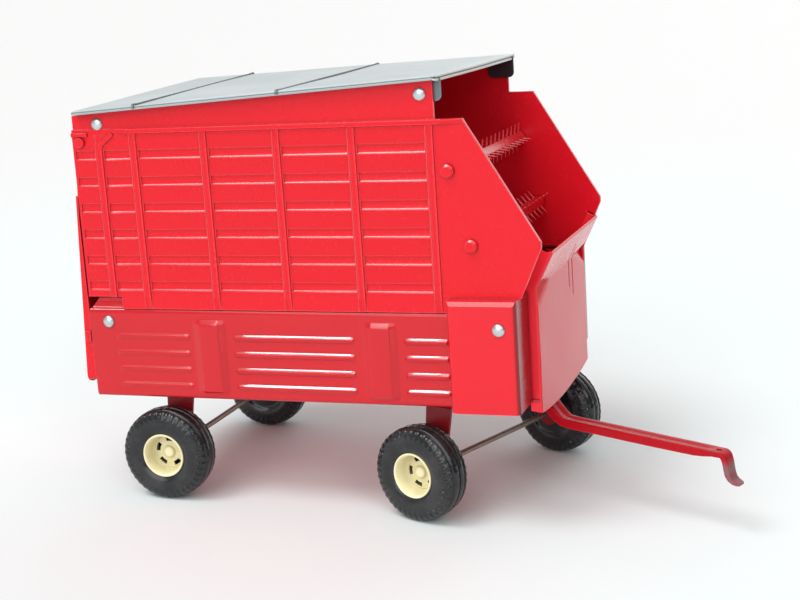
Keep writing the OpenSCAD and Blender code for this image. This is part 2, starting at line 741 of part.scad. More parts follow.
// Tongue: plate under the bracket, a drop, then a long channel ending in a drop hook
module tongue_channel() {
    web = sheet;
    plate_z = bracket_top_z - sheet - web / 2;
    drop = [48, tongue_z_rear - web / 2];
    end = [hitch_reach + 3.3, tongue_z_front - web / 2];
    bar_half = tongue_w / 2;
    hook = end + [3, -5];
    difference() {
        union() {
            box_at(-11, 34, -11, 11, plate_z - web / 2, plate_z + web / 2);
            across(-bar_half, bar_half)
                bent_strip([[33, plate_z], [36, plate_z], drop, end, end + [1.7, -1.4], hook], web);
            // side flanges of the channel
            for (s = [-1, 1]) on_side(s) across(bar_half - web, bar_half) polygon([
                [36, plate_z - 0.2], drop, [end[0] - 1, end[1] + 0.2], [end[0] - 1, end[1] - 1.4],
                [end[0] - 6, end[1] - tongue_flange + 0.3], [drop[0], drop[1] - tongue_flange],
                [36.4, plate_z - 4.4]
            ]);
            // hook: a narrower folded strip that curls forward
            across(-bar_half + 1, bar_half - 1) bent_strip([
                hook + [-0.3, 0.5], hook + [1.6, -6.6], hook + [2.6, -8.4], hook + [5.9, -10.2]
            ], web + 0.6);
            for (s = [-1, 1]) on_side(s) across(bar_half - 1.2 - web, bar_half - 1.2)
                bent_strip([end + [1, -3], end + [2.4, -7], end + [4, -11.4]], 2.6);
        }
        translate([hitch_reach, 0, tongue_z_front - 4]) cylinder(r = hitch_d / 2, h = 8);
        translate([0, 0, plate_z - 2]) cylinder(r = kingpin_r + bar_gap, h = 4);
        for (s = [-1, 1]) translate([0, s * 7, plate_z - 2]) cylinder(r = shank_r, h = 4);
    }
}
// The stamping is drawn in two lengths: the long arm, and the end with the pin hole and the hook
module tongue() {
    color(steel_red) steered_frame() intersection() {
        tongue_channel();
        box_at(-20, hitch_from, -20, 20, 30, 70);
    }
}
module hitch_end() {
    color(steel_red) steered_frame() intersection() {
        tongue_channel();
        box_at(hitch_from, hitch_reach + 40, -20, 20, 10, 70);
    }
}
module tongue_rivets() {
    color(rivet_silver) steered_frame() for (s = [-1, 1]) translate([0, s * 7, bracket_top_z]) {
        translate([0, 0, -2 * sheet]) cylinder(r = shank_r, h = 2 * sheet);
        translate([0, 0, -2 * sheet - 0.9]) cylinder(r1 = 1.8, r2 = 2.6, h = 0.9);
    }
}

// Wheel parts are drawn with their axis along y and their outer face towards +y. The tyre's back wall
// reaches in to the hub and closes the hollow rim.
module rim_profile() {
    seat = rim_r - 0.5;
    polygon([
        [0, -8.6], [3.6, -8.6], [3.6, -1.4], [9.8, -1.4], [10.6, -2.2], [10.6, -7.4], [seat, -7.4],
        [seat, 7.45], [rim_r, 7.8], [rim_r, 8.3], [rim_r - 0.6, 8.8], [rim_r - 1.3, 8.2],
        [rim_r - 2.1, 1.4], [9.6, 0.4], [8.8, 0.6], [8.4, 0], [3.4, 0], [3.2, 1.3], [2.8, 1.8], [0, 1.8]
    ]);
}
module rim() {
    slots = 5;
    difference() {
        rotate([-90, 0, 0]) rotate_extrude($fn = 64) rim_profile();
        translate([0, 0.8, 0]) rotate([90, 0, 0]) cylinder(r = axle_r + bar_gap / 2, h = 14);
        for (i = [0 : slots - 1]) rotate([0, 20 + i * 360 / slots, 0])
            box_at(6.6, 8.2, -3, 3, -2, 2);
    }
}
module tyre_profile() {
    bead = rim_r - 0.5;
    half = tyre_w / 2;
    shoulder = tyre_r - 2.6;
    groove_w = 1.4;
    flank = [
        [bead, half - 1.8], [bead + 2.4, half - 0.5], [17, half], [shoulder - 1.6, half],
        [shoulder, half - 0.5], [tyre_r - 0.9, half - 2.2], [tyre_r, half - 4],
        [tyre_r, groove_w], [tyre_r - 1.4, groove_w - 0.4]
    ];
    lip_r = 4.2;
    lip_y = 7.6;
    last = len(flank) - 1;
    polygon(concat(
        flank,
        [for (i = [last : -1 : 1]) [flank[i][0], -flank[i][1]]],
        [[bead + 0.6, -lip_y - 0.8], [lip_r, -lip_y - 0.8], [lip_r, -lip_y], [bead, -lip_y]]
    ));
}
module tyre() {
    rotate([-90, 0, 0]) rotate_extrude($fn = 96) tyre_profile();
}
module at_wheel(s) {
    translate([0, s * track / 2, tyre_r]) on_side(s) children();
}
module rim_rear_right() { color(cream) rear_frame() at_wheel(-1) rim(); }
module rim_rear_left() { color(cream) rear_frame() at_wheel(1) rim(); }
module rim_front_right() { color(cream) steered_frame() at_wheel(-1) rim(); }
module rim_front_left() { color(cream) steered_frame() at_wheel(1) rim(); }
module tyre_rear_right() { color(rubber_black) rear_frame() at_wheel(-1) tyre(); }
module tyre_rear_left() { color(rubber_black) rear_frame() at_wheel(1) tyre(); }
module tyre_front_right() { color(rubber_black) steered_frame() at_wheel(-1) tyre(); }
module tyre_front_left() { color(rubber_black) steered_frame() at_wheel(1) tyre(); }

bed_pan();
side_panel_right();
side_panel_left();
roof();
roof_rivets();
side_rivets();
corner_cover_right();
discharge_cover_left();
front_hopper();
front_bolster();
tailgate();
tailgate_pins();
beater_upper_shaft();
beater_upper_reel();
beater_lower_shaft();
beater_lower_reel();
rear_bracket();
rear_bracket_rivets();
rear_axle();
kingpin();
front_bracket();
front_axle();
tongue();
hitch_end();
tongue_rivets();
rim_rear_right();
tyre_rear_right();
rim_rear_left();
tyre_rear_left();
rim_front_right();
tyre_front_right();
rim_front_left();
tyre_front_left();
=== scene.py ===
"""Looks of the toy forage wagon around its CAD part. Lengths inside the shapes are millimetres."""
import json
import math

import bmesh
import bpy
import numpy as np
from mathutils import Matrix, Vector


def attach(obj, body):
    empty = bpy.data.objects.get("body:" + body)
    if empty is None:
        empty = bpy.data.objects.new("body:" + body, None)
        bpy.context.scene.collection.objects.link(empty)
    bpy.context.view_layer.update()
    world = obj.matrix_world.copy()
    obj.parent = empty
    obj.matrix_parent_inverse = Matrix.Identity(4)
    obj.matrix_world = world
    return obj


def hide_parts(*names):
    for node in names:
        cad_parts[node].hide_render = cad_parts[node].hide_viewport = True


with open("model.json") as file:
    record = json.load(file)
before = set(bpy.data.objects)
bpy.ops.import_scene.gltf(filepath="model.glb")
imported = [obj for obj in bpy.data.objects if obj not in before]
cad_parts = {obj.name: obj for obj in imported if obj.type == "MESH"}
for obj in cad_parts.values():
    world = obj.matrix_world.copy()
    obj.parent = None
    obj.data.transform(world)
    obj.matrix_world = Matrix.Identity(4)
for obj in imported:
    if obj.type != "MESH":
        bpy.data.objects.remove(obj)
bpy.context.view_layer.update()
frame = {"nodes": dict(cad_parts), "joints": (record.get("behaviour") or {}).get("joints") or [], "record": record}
JOINTS = {j["name"]: j for j in frame["joints"]}
NODES = frame["nodes"]
BODY_OF = {n: b for b, group in frame["record"]["behaviour"]["bodies"].items() for n in group}
SLOT_OF = {s["node"]: s["material_slot"] for s in frame["record"]["subparts"]}

# The box stands nose-up on its running gear. The front gear is steered, the rear gear is square to the floor.
# In each frame x runs forward, y to the left and z up.
PITCH = math.radians(2.3)
pivot = Vector(JOINTS["front_gear_steer"]["pos_m"])
front_axis = Vector(JOINTS["wheel_front_right_spin"]["axis"])
STEER = math.atan2(front_axis.x, front_axis.y)
MM = Matrix.Scale(0.001, 4)
BOX = Matrix.Translation((pivot.x, 0, 0)) @ Matrix.Rotation(-PITCH, 4, "Y") @ MM
GEAR = Matrix.Translation((pivot.x, 0, 0)) @ Matrix.Rotation(-STEER, 4, "Z") @ MM
REAR_GEAR = Matrix.Translation((JOINTS["wheel_rear_right_spin"]["pos_m"][0], 0, 0)) @ MM


# ---------------------------------------------------------------- materials
class Look:
    """A Principled material with helpers for procedural detail in object coordinates (metres)."""

    def __init__(self, name, base, roughness, metallic=0.0, specular=0.5):
        self.mat = bpy.data.materials.new(name)
        self.mat.use_nodes = True
        self.tree = self.mat.node_tree
        self.bsdf = self.tree.nodes["Principled BSDF"]
        self.bsdf.inputs["Base Color"].default_value = (*base, 1)
        self.bsdf.inputs["Roughness"].default_value = roughness
        self.bsdf.inputs["Metallic"].default_value = metallic
        self.bsdf.inputs["Specular IOR Level"].default_value = specular
        self.coord = self.tree.nodes.new("ShaderNodeTexCoord").outputs["Object"]

    def node(self, kind, **values):
        n = self.tree.nodes.new(kind)
        for key, value in values.items():
            setattr(n, key, value)
        return n

    def put(self, socket, value):
        if isinstance(value, bpy.types.NodeSocket):
            self.tree.links.new(value, socket)
        elif isinstance(value, tuple) and len(value) == 3 and socket.type == "RGBA":
            socket.default_value = (*value, 1)
        else:
            socket.default_value = value

    def noise(self, scale, detail=3.0, rough=0.55, stretch=(1, 1, 1)):
        at = self.node("ShaderNodeMapping")
        self.put(at.inputs["Vector"], self.coord)
        at.inputs["Scale"].default_value = stretch
        n = self.node("ShaderNodeTexNoise")
        self.put(n.inputs["Vector"], at.outputs[0])
        n.inputs["Scale"].default_value = scale
        n.inputs["Detail"].default_value = detail
        n.inputs["Roughness"].default_value = rough
        return n.outputs["Fac"]

    def band(self, value, low, high, to_low=0.0, to_high=1.0):
        n = self.node("ShaderNodeMapRange", interpolation_type="SMOOTHSTEP")
        self.put(n.inputs["Value"], value)
        for key, v in (("From Min", low), ("From Max", high), ("To Min", to_low), ("To Max", to_high)):
            self.put(n.inputs[key], v)
        return n.outputs[0]

    def math(self, operation, a, b):
        n = self.node("ShaderNodeMath", operation=operation)
        self.put(n.inputs[0], a)
        self.put(n.inputs[1], b)
        return n.outputs[0]

    def times(self, a, b):
        return self.math("MULTIPLY", a, b)

    def plus(self, a, b):
        return self.math("ADD", a, b)

    def mix(self, factor, a, b):
        n = self.node("ShaderNodeMix", data_type="RGBA")
        self.put(n.inputs[0], factor)
        self.put(n.inputs[6], a)
        self.put(n.inputs[7], b)
        return n.outputs[2]

    def edges(self, radius):
        """1 where the surface bends sharply, 0 on flat areas."""
        bevel = self.node("ShaderNodeBevel", samples=4)
        bevel.inputs["Radius"].default_value = radius
        geo = self.node("ShaderNodeNewGeometry")
        dot = self.node("ShaderNodeVectorMath", operation="DOT_PRODUCT")
        self.put(dot.inputs[0], bevel.outputs[0])
        self.put(dot.inputs[1], geo.outputs["Normal"])
        return self.band(dot.outputs["Value"], 0.995, 0.85)

    def hollow(self, reach):
        """1 deep in creases and grooves, 0 in the open."""
        ao = self.node("ShaderNodeAmbientOcclusion", samples=6)
        ao.inputs["Distance"].default_value = reach
        return self.band(ao.outputs["AO"], 0.93, 0.45)

    def facing(self, axis, low, high):
        """Ramp over one component of the true normal."""
        geo = self.node("ShaderNodeNewGeometry")
        parts = self.node("ShaderNodeSeparateXYZ")
        self.put(parts.inputs[0], geo.outputs["Normal"])
        return self.band(parts.outputs[axis], low, high)

    def height(self, low, high):
        """Ramp over the height above the floor."""
        parts = self.node("ShaderNodeSeparateXYZ")
        self.put(parts.inputs[0], self.coord)
        return self.band(parts.outputs[2], low, high)

    def color(self, value):
        self.put(self.bsdf.inputs["Base Color"], value)

    def rough(self, value):
        self.put(self.bsdf.inputs["Roughness"], value)

    def bump(self, height, strength, distance):
        n = self.node("ShaderNodeBump")
        n.inputs["Strength"].default_value = strength
        n.inputs["Distance"].default_value = distance
        self.put(n.inputs["Height"], height)
        self.put(self.bsdf.inputs["Normal"], n.outputs[0])


def paint(name, base, dark, light, roughness, specular, edge, dirt, wave=0.3, crease_shade=0.6, worn_below=None,
          glint=None, turned=None):
    """Paint or moulding: cloudy tone, a painted highlight on edges, painted shade in creases, faint scratches,
    a slightly wavy gloss.

    light is the colour of the painted edge highlight, and edge its strength. The crease factor sets how dark
    the painted shade in creases and grooves gets. worn_below is the height under which bare metal shows. glint
    adds shine on upward edges. turned is (axis, low, high, colour): faces that turn along that axis take the
    colour, as painted light where it is lighter and painted shade where it is darker.
    """
    look = Look(name, base, roughness, specular=specular)
    cloud = look.band(look.noise(9, 4), 0.35, 0.7)
    fine = look.band(look.noise(160, 5, 0.7), 0.45, 0.75)
    streak = look.band(look.noise(55, 4, 0.6, (0.15, 1, 2.2)), 0.58, 0.8)
    tone = look.mix(look.times(cloud, dirt), base, dark)
    tone = look.mix(look.times(look.times(streak, fine), dirt), tone, dark)
    # painted highlight: sharp edges take the lighter colour
    tone = look.mix(look.times(look.edges(0.0006), edge), tone, light)
    # painted light and shade: faces turned along the axis take the given colour
    if turned:
        axis, low, high, shading_tone = turned
        tone = look.mix(look.facing(axis, low, high), tone, shading_tone)
    if worn_below:
        low_down = look.height(worn_below, worn_below - 0.006)
        bare = look.times(low_down, look.band(fine, 0.0, 0.6, 0.55, 0.9))
        tone = look.mix(bare, tone, (0.17, 0.165, 0.18))
    # painted shade: creases and grooves darken towards a deeper red
    tone = look.mix(look.times(look.hollow(0.0022), crease_shade), tone, tuple(0.45 * c for c in dark))
    look.color(tone)
    if glint:
        shine = look.times(look.facing(2, 0.3, 0.6), glint)
        look.put(look.bsdf.inputs["Specular IOR Level"], look.plus(shine, specular))
    spread = look.plus(look.times(fine, 0.10), look.times(cloud, 0.08))
    look.rough(look.plus(spread, roughness - 0.05))
    swell = look.times(look.noise(30, 2), 0.8)
    look.bump(look.plus(swell, look.times(fine, 0.008)), wave, 0.0006)
    return look.mat


def roof_look(name, side):
    """Pale scuffed sheet. side is the tone of the faces that stand upright: painted shade where it is darker than
    the sheet, painted light where it is lighter.
    """
    look = Look(name, (0.56, 0.62, 0.63), 0.38, specular=0.5)
    cloud = look.band(look.noise(14, 5, 0.6), 0.35, 0.7)
    stain = look.band(look.noise(60, 6, 0.7), 0.62, 0.72)
    fine = look.noise(420, 4, 0.7)
    scratch = look.band(look.noise(120, 3, 0.6, (3, 0.12, 1)), 0.66, 0.72)
    tone = look.mix(cloud, (0.57, 0.63, 0.64), (0.66, 0.715, 0.72))
    tone = look.mix(look.times(stain, 0.25), tone, (0.34, 0.36, 0.35))
    tone = look.mix(look.times(scratch, 0.35), tone, (0.72, 0.77, 0.78))
    # painted shading: upright faces take the side tone
    tone = look.mix(look.facing(2, 0.93, 0.3), tone, side)
    # painted highlight on edges
    tone = look.mix(look.times(look.edges(0.0006), 0.3), tone, (0.70, 0.75, 0.76))
    # painted shade: creases and hollows turn almost black
    tone = look.mix(look.times(look.hollow(0.0016), 0.7), tone, (0.06, 0.07, 0.075))
    look.color(tone)
    look.rough(look.plus(look.times(fine, 0.18), 0.26))
    look.bump(look.plus(look.times(fine, 0.06), look.noise(28, 2)), 0.22, 0.0006)
    return look.mat


# Dark grey of the roof seams, partly worn grimy steel and partly painted crevice shade; on the hem's core it is a
# painted shadow.
def seam_look():
    look = Look("roof_seam", (0.13, 0.14, 0.14), 0.5)
    grime = look.band(look.noise(260, 5, 0.7), 0.35, 0.7)
    look.color(look.mix(grime, (0.07, 0.078, 0.08), (0.24, 0.27, 0.27)))
    look.rough(look.plus(look.times(grime, 0.2), 0.4))
    look.bump(grime, 0.3, 0.0003)
    return look.mat


def metal_look(name, base, dark, roughness, along, grime):
    look = Look(name, base, roughness, metallic=1.0)
    brushed = look.noise(700, 4, 0.6, along)
    spots = look.band(look.noise(180, 6, 0.7), 0.5, 0.72)
    tone = look.mix(look.times(brushed, 0.35), base, dark)
    tone = look.mix(look.times(spots, grime), tone, dark)
    look.color(tone)
    look.rough(look.plus(look.times(brushed, 0.25), roughness - 0.1))
    look.bump(brushed, 0.15, 0.0002)
    return look.mat


def rim_look():
    look = Look("rim", (0.90, 0.83, 0.55), 0.4, specular=0.4)
    cloud = look.band(look.noise(120, 5, 0.6), 0.35, 0.7)
    spots = look.band(look.noise(520, 4, 0.7), 0.6, 0.75)
    tone = look.mix(cloud, (0.93, 0.86, 0.58), (0.86, 0.78, 0.49))
    tone = look.mix(look.times(spots, 0.2), tone, (0.5, 0.42, 0.24))
    # painted highlight on edges
    tone = look.mix(look.times(look.edges(0.0004), 0.3), tone, (0.97, 0.93, 0.74))
    # painted shade: the dish and slots darken towards brown
    tone = look.mix(look.times(look.hollow(0.009), 0.62), tone, (0.40, 0.37, 0.15))
    look.color(tone)
    look.rough(look.plus(look.times(spots, 0.2), 0.34))
    look.bump(look.noise(300, 3), 0.1, 0.0003)
    return look.mat


def tyre_look():
    look = Look("tyre", (0.022, 0.023, 0.024), 0.42, specular=0.5)
    dust = look.band(look.noise(70, 6, 0.65), 0.4, 0.72)
    grain = look.noise(900, 4, 0.7)
    tone = look.mix(dust, (0.010, 0.011, 0.013), (0.030, 0.031, 0.032))
    # painted highlight on edges
    tone = look.mix(look.times(look.edges(0.0005), 0.4), tone, (0.06, 0.066, 0.07))
    # painted shade: grooves and notches darken to near black
    tone = look.mix(look.times(look.hollow(0.0018), 0.8), tone, (0.004, 0.004, 0.005))
    look.color(tone)
    look.rough(look.plus(look.times(dust, 0.16), look.times(grain, 0.2)))
    look.bump(grain, 0.12, 0.0002)
    return look.mat


def floor_look():
    look = Look("floor", (0.93, 0.93, 0.93), 0.7, specular=0.2)
    away = look.node("ShaderNodeVectorMath", operation="LENGTH")
    look.put(away.inputs[0], look.coord)
    # near the wagon the floor is tinted cyan against the red light bounced off the wagon, a painted correction of
    # light that fades to neutral further away
    near = look.mix(look.noise(6, 4), (0.870, 0.93, 0.93), (0.865, 0.92, 0.925))
    look.color(look.mix(look.band(away.outputs["Value"], 0.3, 1.8), near, (0.875, 0.875, 0.87)))
    look.bump(look.noise(120, 4), 0.04, 0.0005)
    return look.mat


# Each paint takes a base, a darker tone for cloud, streaks and the painted shade in creases, and a lighter colour
# for the painted highlight on edges.
RED, RED_SHADE, RED_EDGE_HIGHLIGHT = (0.765, 0.009, 0.021), (0.56, 0.005, 0.010), (0.92, 0.22, 0.23)
# the cover's forward-facing faces take a dark red: painted shade
COVER_STEEL = paint("cover_steel", RED, RED_SHADE, RED_EDGE_HIGHLIGHT, 0.16, 0.42, edge=0.6, dirt=0.22, glint=1.5,
                    turned=(0, 0.35, 0.8, (0.30, 0.003, 0.006)))
# the hopper's faces turned to the near side take a bright red: painted light
HOPPER_STEEL = paint("hopper_steel", RED, RED_SHADE, RED_EDGE_HIGHLIGHT, 0.16, 0.26, edge=0.6, dirt=0.22,
                     turned=(1, -0.6, -0.95, (0.97, 0.03, 0.05)))
TONGUE_STEEL = paint("tongue_steel", (0.56, 0.005, 0.014), (0.20, 0.010, 0.014), (0.82, 0.16, 0.18),
                     0.24, 0.13, edge=0.6, dirt=0.4, worn_below=0.0425)
LUG_STEEL = paint("lug_steel", (0.15, 0.20, 0.22), (0.07, 0.07, 0.075), (0.42, 0.5, 0.52), 0.3, 0.5,
                  edge=0.6, dirt=0.5)
LUG_DARK = paint("lug_dark", (0.035, 0.022, 0.026), (0.012, 0.010, 0.011), (0.10, 0.08, 0.09), 0.4, 0.4,
                 edge=0.4, dirt=0.6)
# the hem's upright faces take a lighter tone: painted highlight
HEM = roof_look("roof_hem", (0.68, 0.68, 0.64))
SEAM = seam_look()
# the look of each material slot
LOOKS = {
    "red_moulding": paint("red_moulding", (0.755, 0.008, 0.019), (0.62, 0.006, 0.012), (0.93, 0.16, 0.18),
                          0.26, 0.3, edge=0.75, dirt=0.16, wave=0.2, crease_shade=0.55, glint=1.1),
    "red_steel": paint("red_steel", (0.60, 0.006, 0.014), (0.42, 0.004, 0.008), (0.80, 0.12, 0.13),
                       0.12, 0.5, edge=0.5, dirt=0.25, crease_shade=0.8, glint=2.2),
    "chassis_steel": paint("chassis_steel", (0.30, 0.010, 0.018), (0.16, 0.006, 0.008), (0.5, 0.05, 0.05),
                           0.3, 0.3, edge=0.4, dirt=0.6),
    # upright faces and turned-down edges take a darker grey: painted shade
    "roof_steel": roof_look("roof_steel", (0.33, 0.385, 0.40)),
    "rivet": metal_look("rivet", (0.66, 0.71, 0.73), (0.34, 0.38, 0.40), 0.32, (1, 1, 1), 0.45),
    "axle_steel": metal_look("axle_steel", (0.40, 0.34, 0.29), (0.13, 0.09, 0.07), 0.42, (1, 0.1, 1), 0.7),
    "rim": rim_look(),
    "tyre": tyre_look(),
}


# ---------------------------------------------------------------- mesh building
def face_outward(mesh):
    bm = bmesh.new()
    bm.from_mesh(mesh)
    bmesh.ops.recalc_face_normals(bm, faces=bm.faces)
    bm.to_mesh(mesh)
    bm.free()


def piece(name, verts, faces, place, body, slot, sharp=32, bevel=0.0, look=None):
    """A closed solid of the wagon, drawn in the frame place. Bends over sharp degrees stay crisp."""
    mesh = bpy.data.meshes.new(name)
    mesh.from_pydata([place @ Vector(v) for v in verts], [], faces)
    face_outward(mesh)
    for poly in mesh.polygons:
        poly.use_smooth = True
    mesh.set_sharp_from_angle(angle=math.radians(sharp))
    mesh.materials.append(look or LOOKS[slot])
    obj = bpy.data.objects.new(name, mesh)
    bpy.context.scene.collection.objects.link(obj)
    if bevel:
        soften(obj, bevel)
    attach(obj, body)
    return obj


def soften(obj, width, segments=2, angle=30):
    mod = obj.modifiers.new("edge radius", "BEVEL")
    mod.width = width * 0.001
    mod.segments = segments
    mod.limit_method = "ANGLE"
    mod.angle_limit = math.radians(angle)
    mod.harden_normals = True
    mod.use_clamp_overlap = True


def shell(outer, inner, keep=None, wrap=False):
    """Closed sheet from two matching grids of points.

    keep says which cells exist, and wrap joins the last row to the first.
    """
    n, m = outer.shape[:2]
    rows = n if wrap else n - 1
    if keep is None:
        keep = np.ones((rows, m - 1), bool)
    verts, faces, index = [], [], {}

    def vert(side, i, j):
        key = (side, i % n, j)
        if key not in index:
            index[key] = len(verts)
            verts.append(tuple((outer, inner)[side][i % n, j]))
        return index[key]

    def kept(i, j):
        if wrap:
            i %= rows
        return 0 <= i < rows and 0 <= j < m - 1 and bool(keep[i, j])

    for i in range(rows):
        for j in range(m - 1):
            if not keep[i, j]:
                continue
            a, b, c, d = (i, j), (i + 1, j), (i + 1, j + 1), (i, j + 1)
            faces.append((vert(0, *a), vert(0, *b), vert(0, *c), vert(0, *d)))
            faces.append((vert(1, *d), vert(1, *c), vert(1, *b), vert(1, *a)))
            sides = ((a, b, (i, j - 1)), (b, c, (i + 1, j)), (c, d, (i, j + 1)), (d, a, (i - 1, j)))
            for p, q, near in sides:
                if not kept(*near):
                    faces.append((vert(0, *q), vert(0, *p), vert(1, *p), vert(1, *q)))
    return verts, faces


def prism(outline, axis, low, high):
    """Solid with a flat outline, extruded along an axis: 0 = x, 1 = y, 2 = z."""
    def at(p, h):
        q = list(p)
        q.insert(axis, h)
        return tuple(q)
    n = len(outline)
    verts = [at(p, low) for p in outline] + [at(p, high) for p in outline]
    faces = [tuple(range(n)), tuple(range(2 * n - 1, n - 1, -1))]
    faces += [(i, i + n, (i + 1) % n + n, (i + 1) % n) for i in range(n)]
    return verts, faces


def box(x0, x1, y0, y1, z0, z1):
    return prism([(x0, y0), (x1, y0), (x1, y1), (x0, y1)], 2, z0, z1)


def join(*solids):
    verts, faces = [], []
    for v, f in solids:
        base = len(verts)
        verts += list(v)
        faces += [tuple(i + base for i in face) for face in f]
    return verts, faces


def lathe(profile, steps, centre):
    """Turned solid around y. Its profile of (radius, y) starts and ends on the axis."""
    verts, faces, rings = [], [], []
    for r, y in profile:
        count = steps if r else 1
        rings.append([len(verts) + k % count for k in range(steps)])
        verts += [(centre[0] + r * math.sin(2 * math.pi * k / steps), centre[1] + y,
                   centre[2] + r * math.cos(2 * math.pi * k / steps)) for k in range(count)]
    for a, b in zip(rings, rings[1:]):
        for k in range(steps):
            q = (k + 1) % steps
            face = [a[k], a[q], b[q], b[k]]
            faces.append(tuple(v for j, v in enumerate(face) if v != face[j - 1]))
    return verts, faces


def tube(rings):
    """Solid through a row of rings of points, closed by a face at each end."""
    n = len(rings[0])
    verts = [v for ring in rings for v in ring]
    faces = [(k * n + m, k * n + (m + 1) % n, (k + 1) * n + (m + 1) % n, (k + 1) * n + m)
             for k in range(len(rings) - 1) for m in range(n)]
    faces += [tuple(range(n - 1, -1, -1)), tuple(range(len(verts) - n, len(verts)))]
    return verts, faces


def revolve(profile, angles):
    """Grid of points: a profile of (radius, y) carried round the y axis."""
    r, y = np.array(profile).T
    a = np.array(angles)[:, None]
    return np.stack([r * np.sin(a), y + 0 * a, r * np.cos(a)], -1)


def mirrored(solid):
    verts, faces = solid
    return [(x, -y, z) for x, y, z in verts], [tuple(reversed(f)) for f in faces]


def sided(solid, s):
    return solid if s > 0 else mirrored(solid)


def lines(*knots):
    """Sorted, de-duplicated grid lines."""
    out = []
    for v in sorted(float(k) for k in knots):
        if not out or v - out[-1] > 1e-4:
            out.append(v)
    return np.array(out)


# ---------------------------------------------------------------- sizes of the box, in its own tilted frame
# distances from the middle plane: rails, panel skin, panel inside, bed wall, corner cover, roof edge
HALF = 75.0
PANEL = 74.0
INSIDE = 71.6
BED = 73.6
COVER_SIDE = 83.0
ROOF_HALF = 78.0
# heights: bed floor, foot of the panels, top of the corner covers, rail, rear and front edge of the roof
FLOOR = 65.6
WAIST = 116.5
COVER_TOP = 124.5
RAIL = 216.5
ROOF_LOW, ROOF_HIGH = 225.4, 236.2
# places along the box, forward of the kingpin
REAR = -209.0
ROOF_REAR, ROOF_FRONT = -205.0, 1.6
BAY = 42.1
FRONT_RIB_X = -3.1
RIB_X = [FRONT_RIB_X - BAY * i for i in range(5)]
HALF_BAY_X = FRONT_RIB_X - 4.5 * BAY
RIBS = RIB_X + [HALF_BAY_X]
# beater shafts, as (x, z)
UPPER = (5.6, 190.3)
LOWER = (15.8, 151.8)
# sheet thickness
STEEL = 1.2


def along_roof(x):
    """0 at the roof's rear edge, 1 at its front edge."""
    return (x - ROOF_REAR) / (ROOF_FRONT - ROOF_REAR)


def roof_line(x):
    return ROOF_LOW + (ROOF_HIGH - ROOF_LOW) * along_roof(x)


def roof_twist(along, y):
    """The old sheet is slightly twisted: its rear left corner stands higher."""
    return (1 - along) * (2.0 + 2.6 * y / ROOF_HALF)


# ---------------------------------------------------------------- side panels
GROOVE_TOPS = [RAIL - 11.7 - 14.54 * row for row in range(6)]
GROOVE_TALL = 5.2
LIP = (-0.5, -0.2, 0.1, 0.85, 1.15)
BROW = (-0.4, -0.15, 0.05, 0.3)
# heights across each long groove, from under its lower lip to over its upper brow
GROOVES = [[top - GROOVE_TALL + d for d in LIP] + [top + d for d in BROW] for top in GROOVE_TOPS]
GROOVE_SINK = (0, -0.12, -0.02, 0.80, 0.92, 0.92, 0.84, 0.07, 0)
# stations across an upright rib with raised edges, and its height at each
RIB_EDGE = (-2.35, -2.15, -1.9, -1.55, -1.15, 1.15, 1.55, 1.9, 2.15, 2.35)
RIB_RISE = (0, 0.55, 1.1, 1.12, 0.72, 0.72, 1.12, 1.1, 0.55, 0)
RIB_HALF = 2.5
BAY_EDGE = (0, 0.25, 0.45)
NOSE_X = 52.0


def groove_depth(z):
    return sum(np.interp(z, levels, GROOVE_SINK) for levels in GROOVES)


def rib_height(x):
    return sum(np.interp(x, [rib + d for d in RIB_EDGE], RIB_RISE) for rib in RIBS)


def bay_knots(start, end):
    """Stations across the two ends of a bay, where its grooves begin and stop."""
    return [start + d for d in BAY_EDGE] + [end - d for d in BAY_EDGE[::-1]]


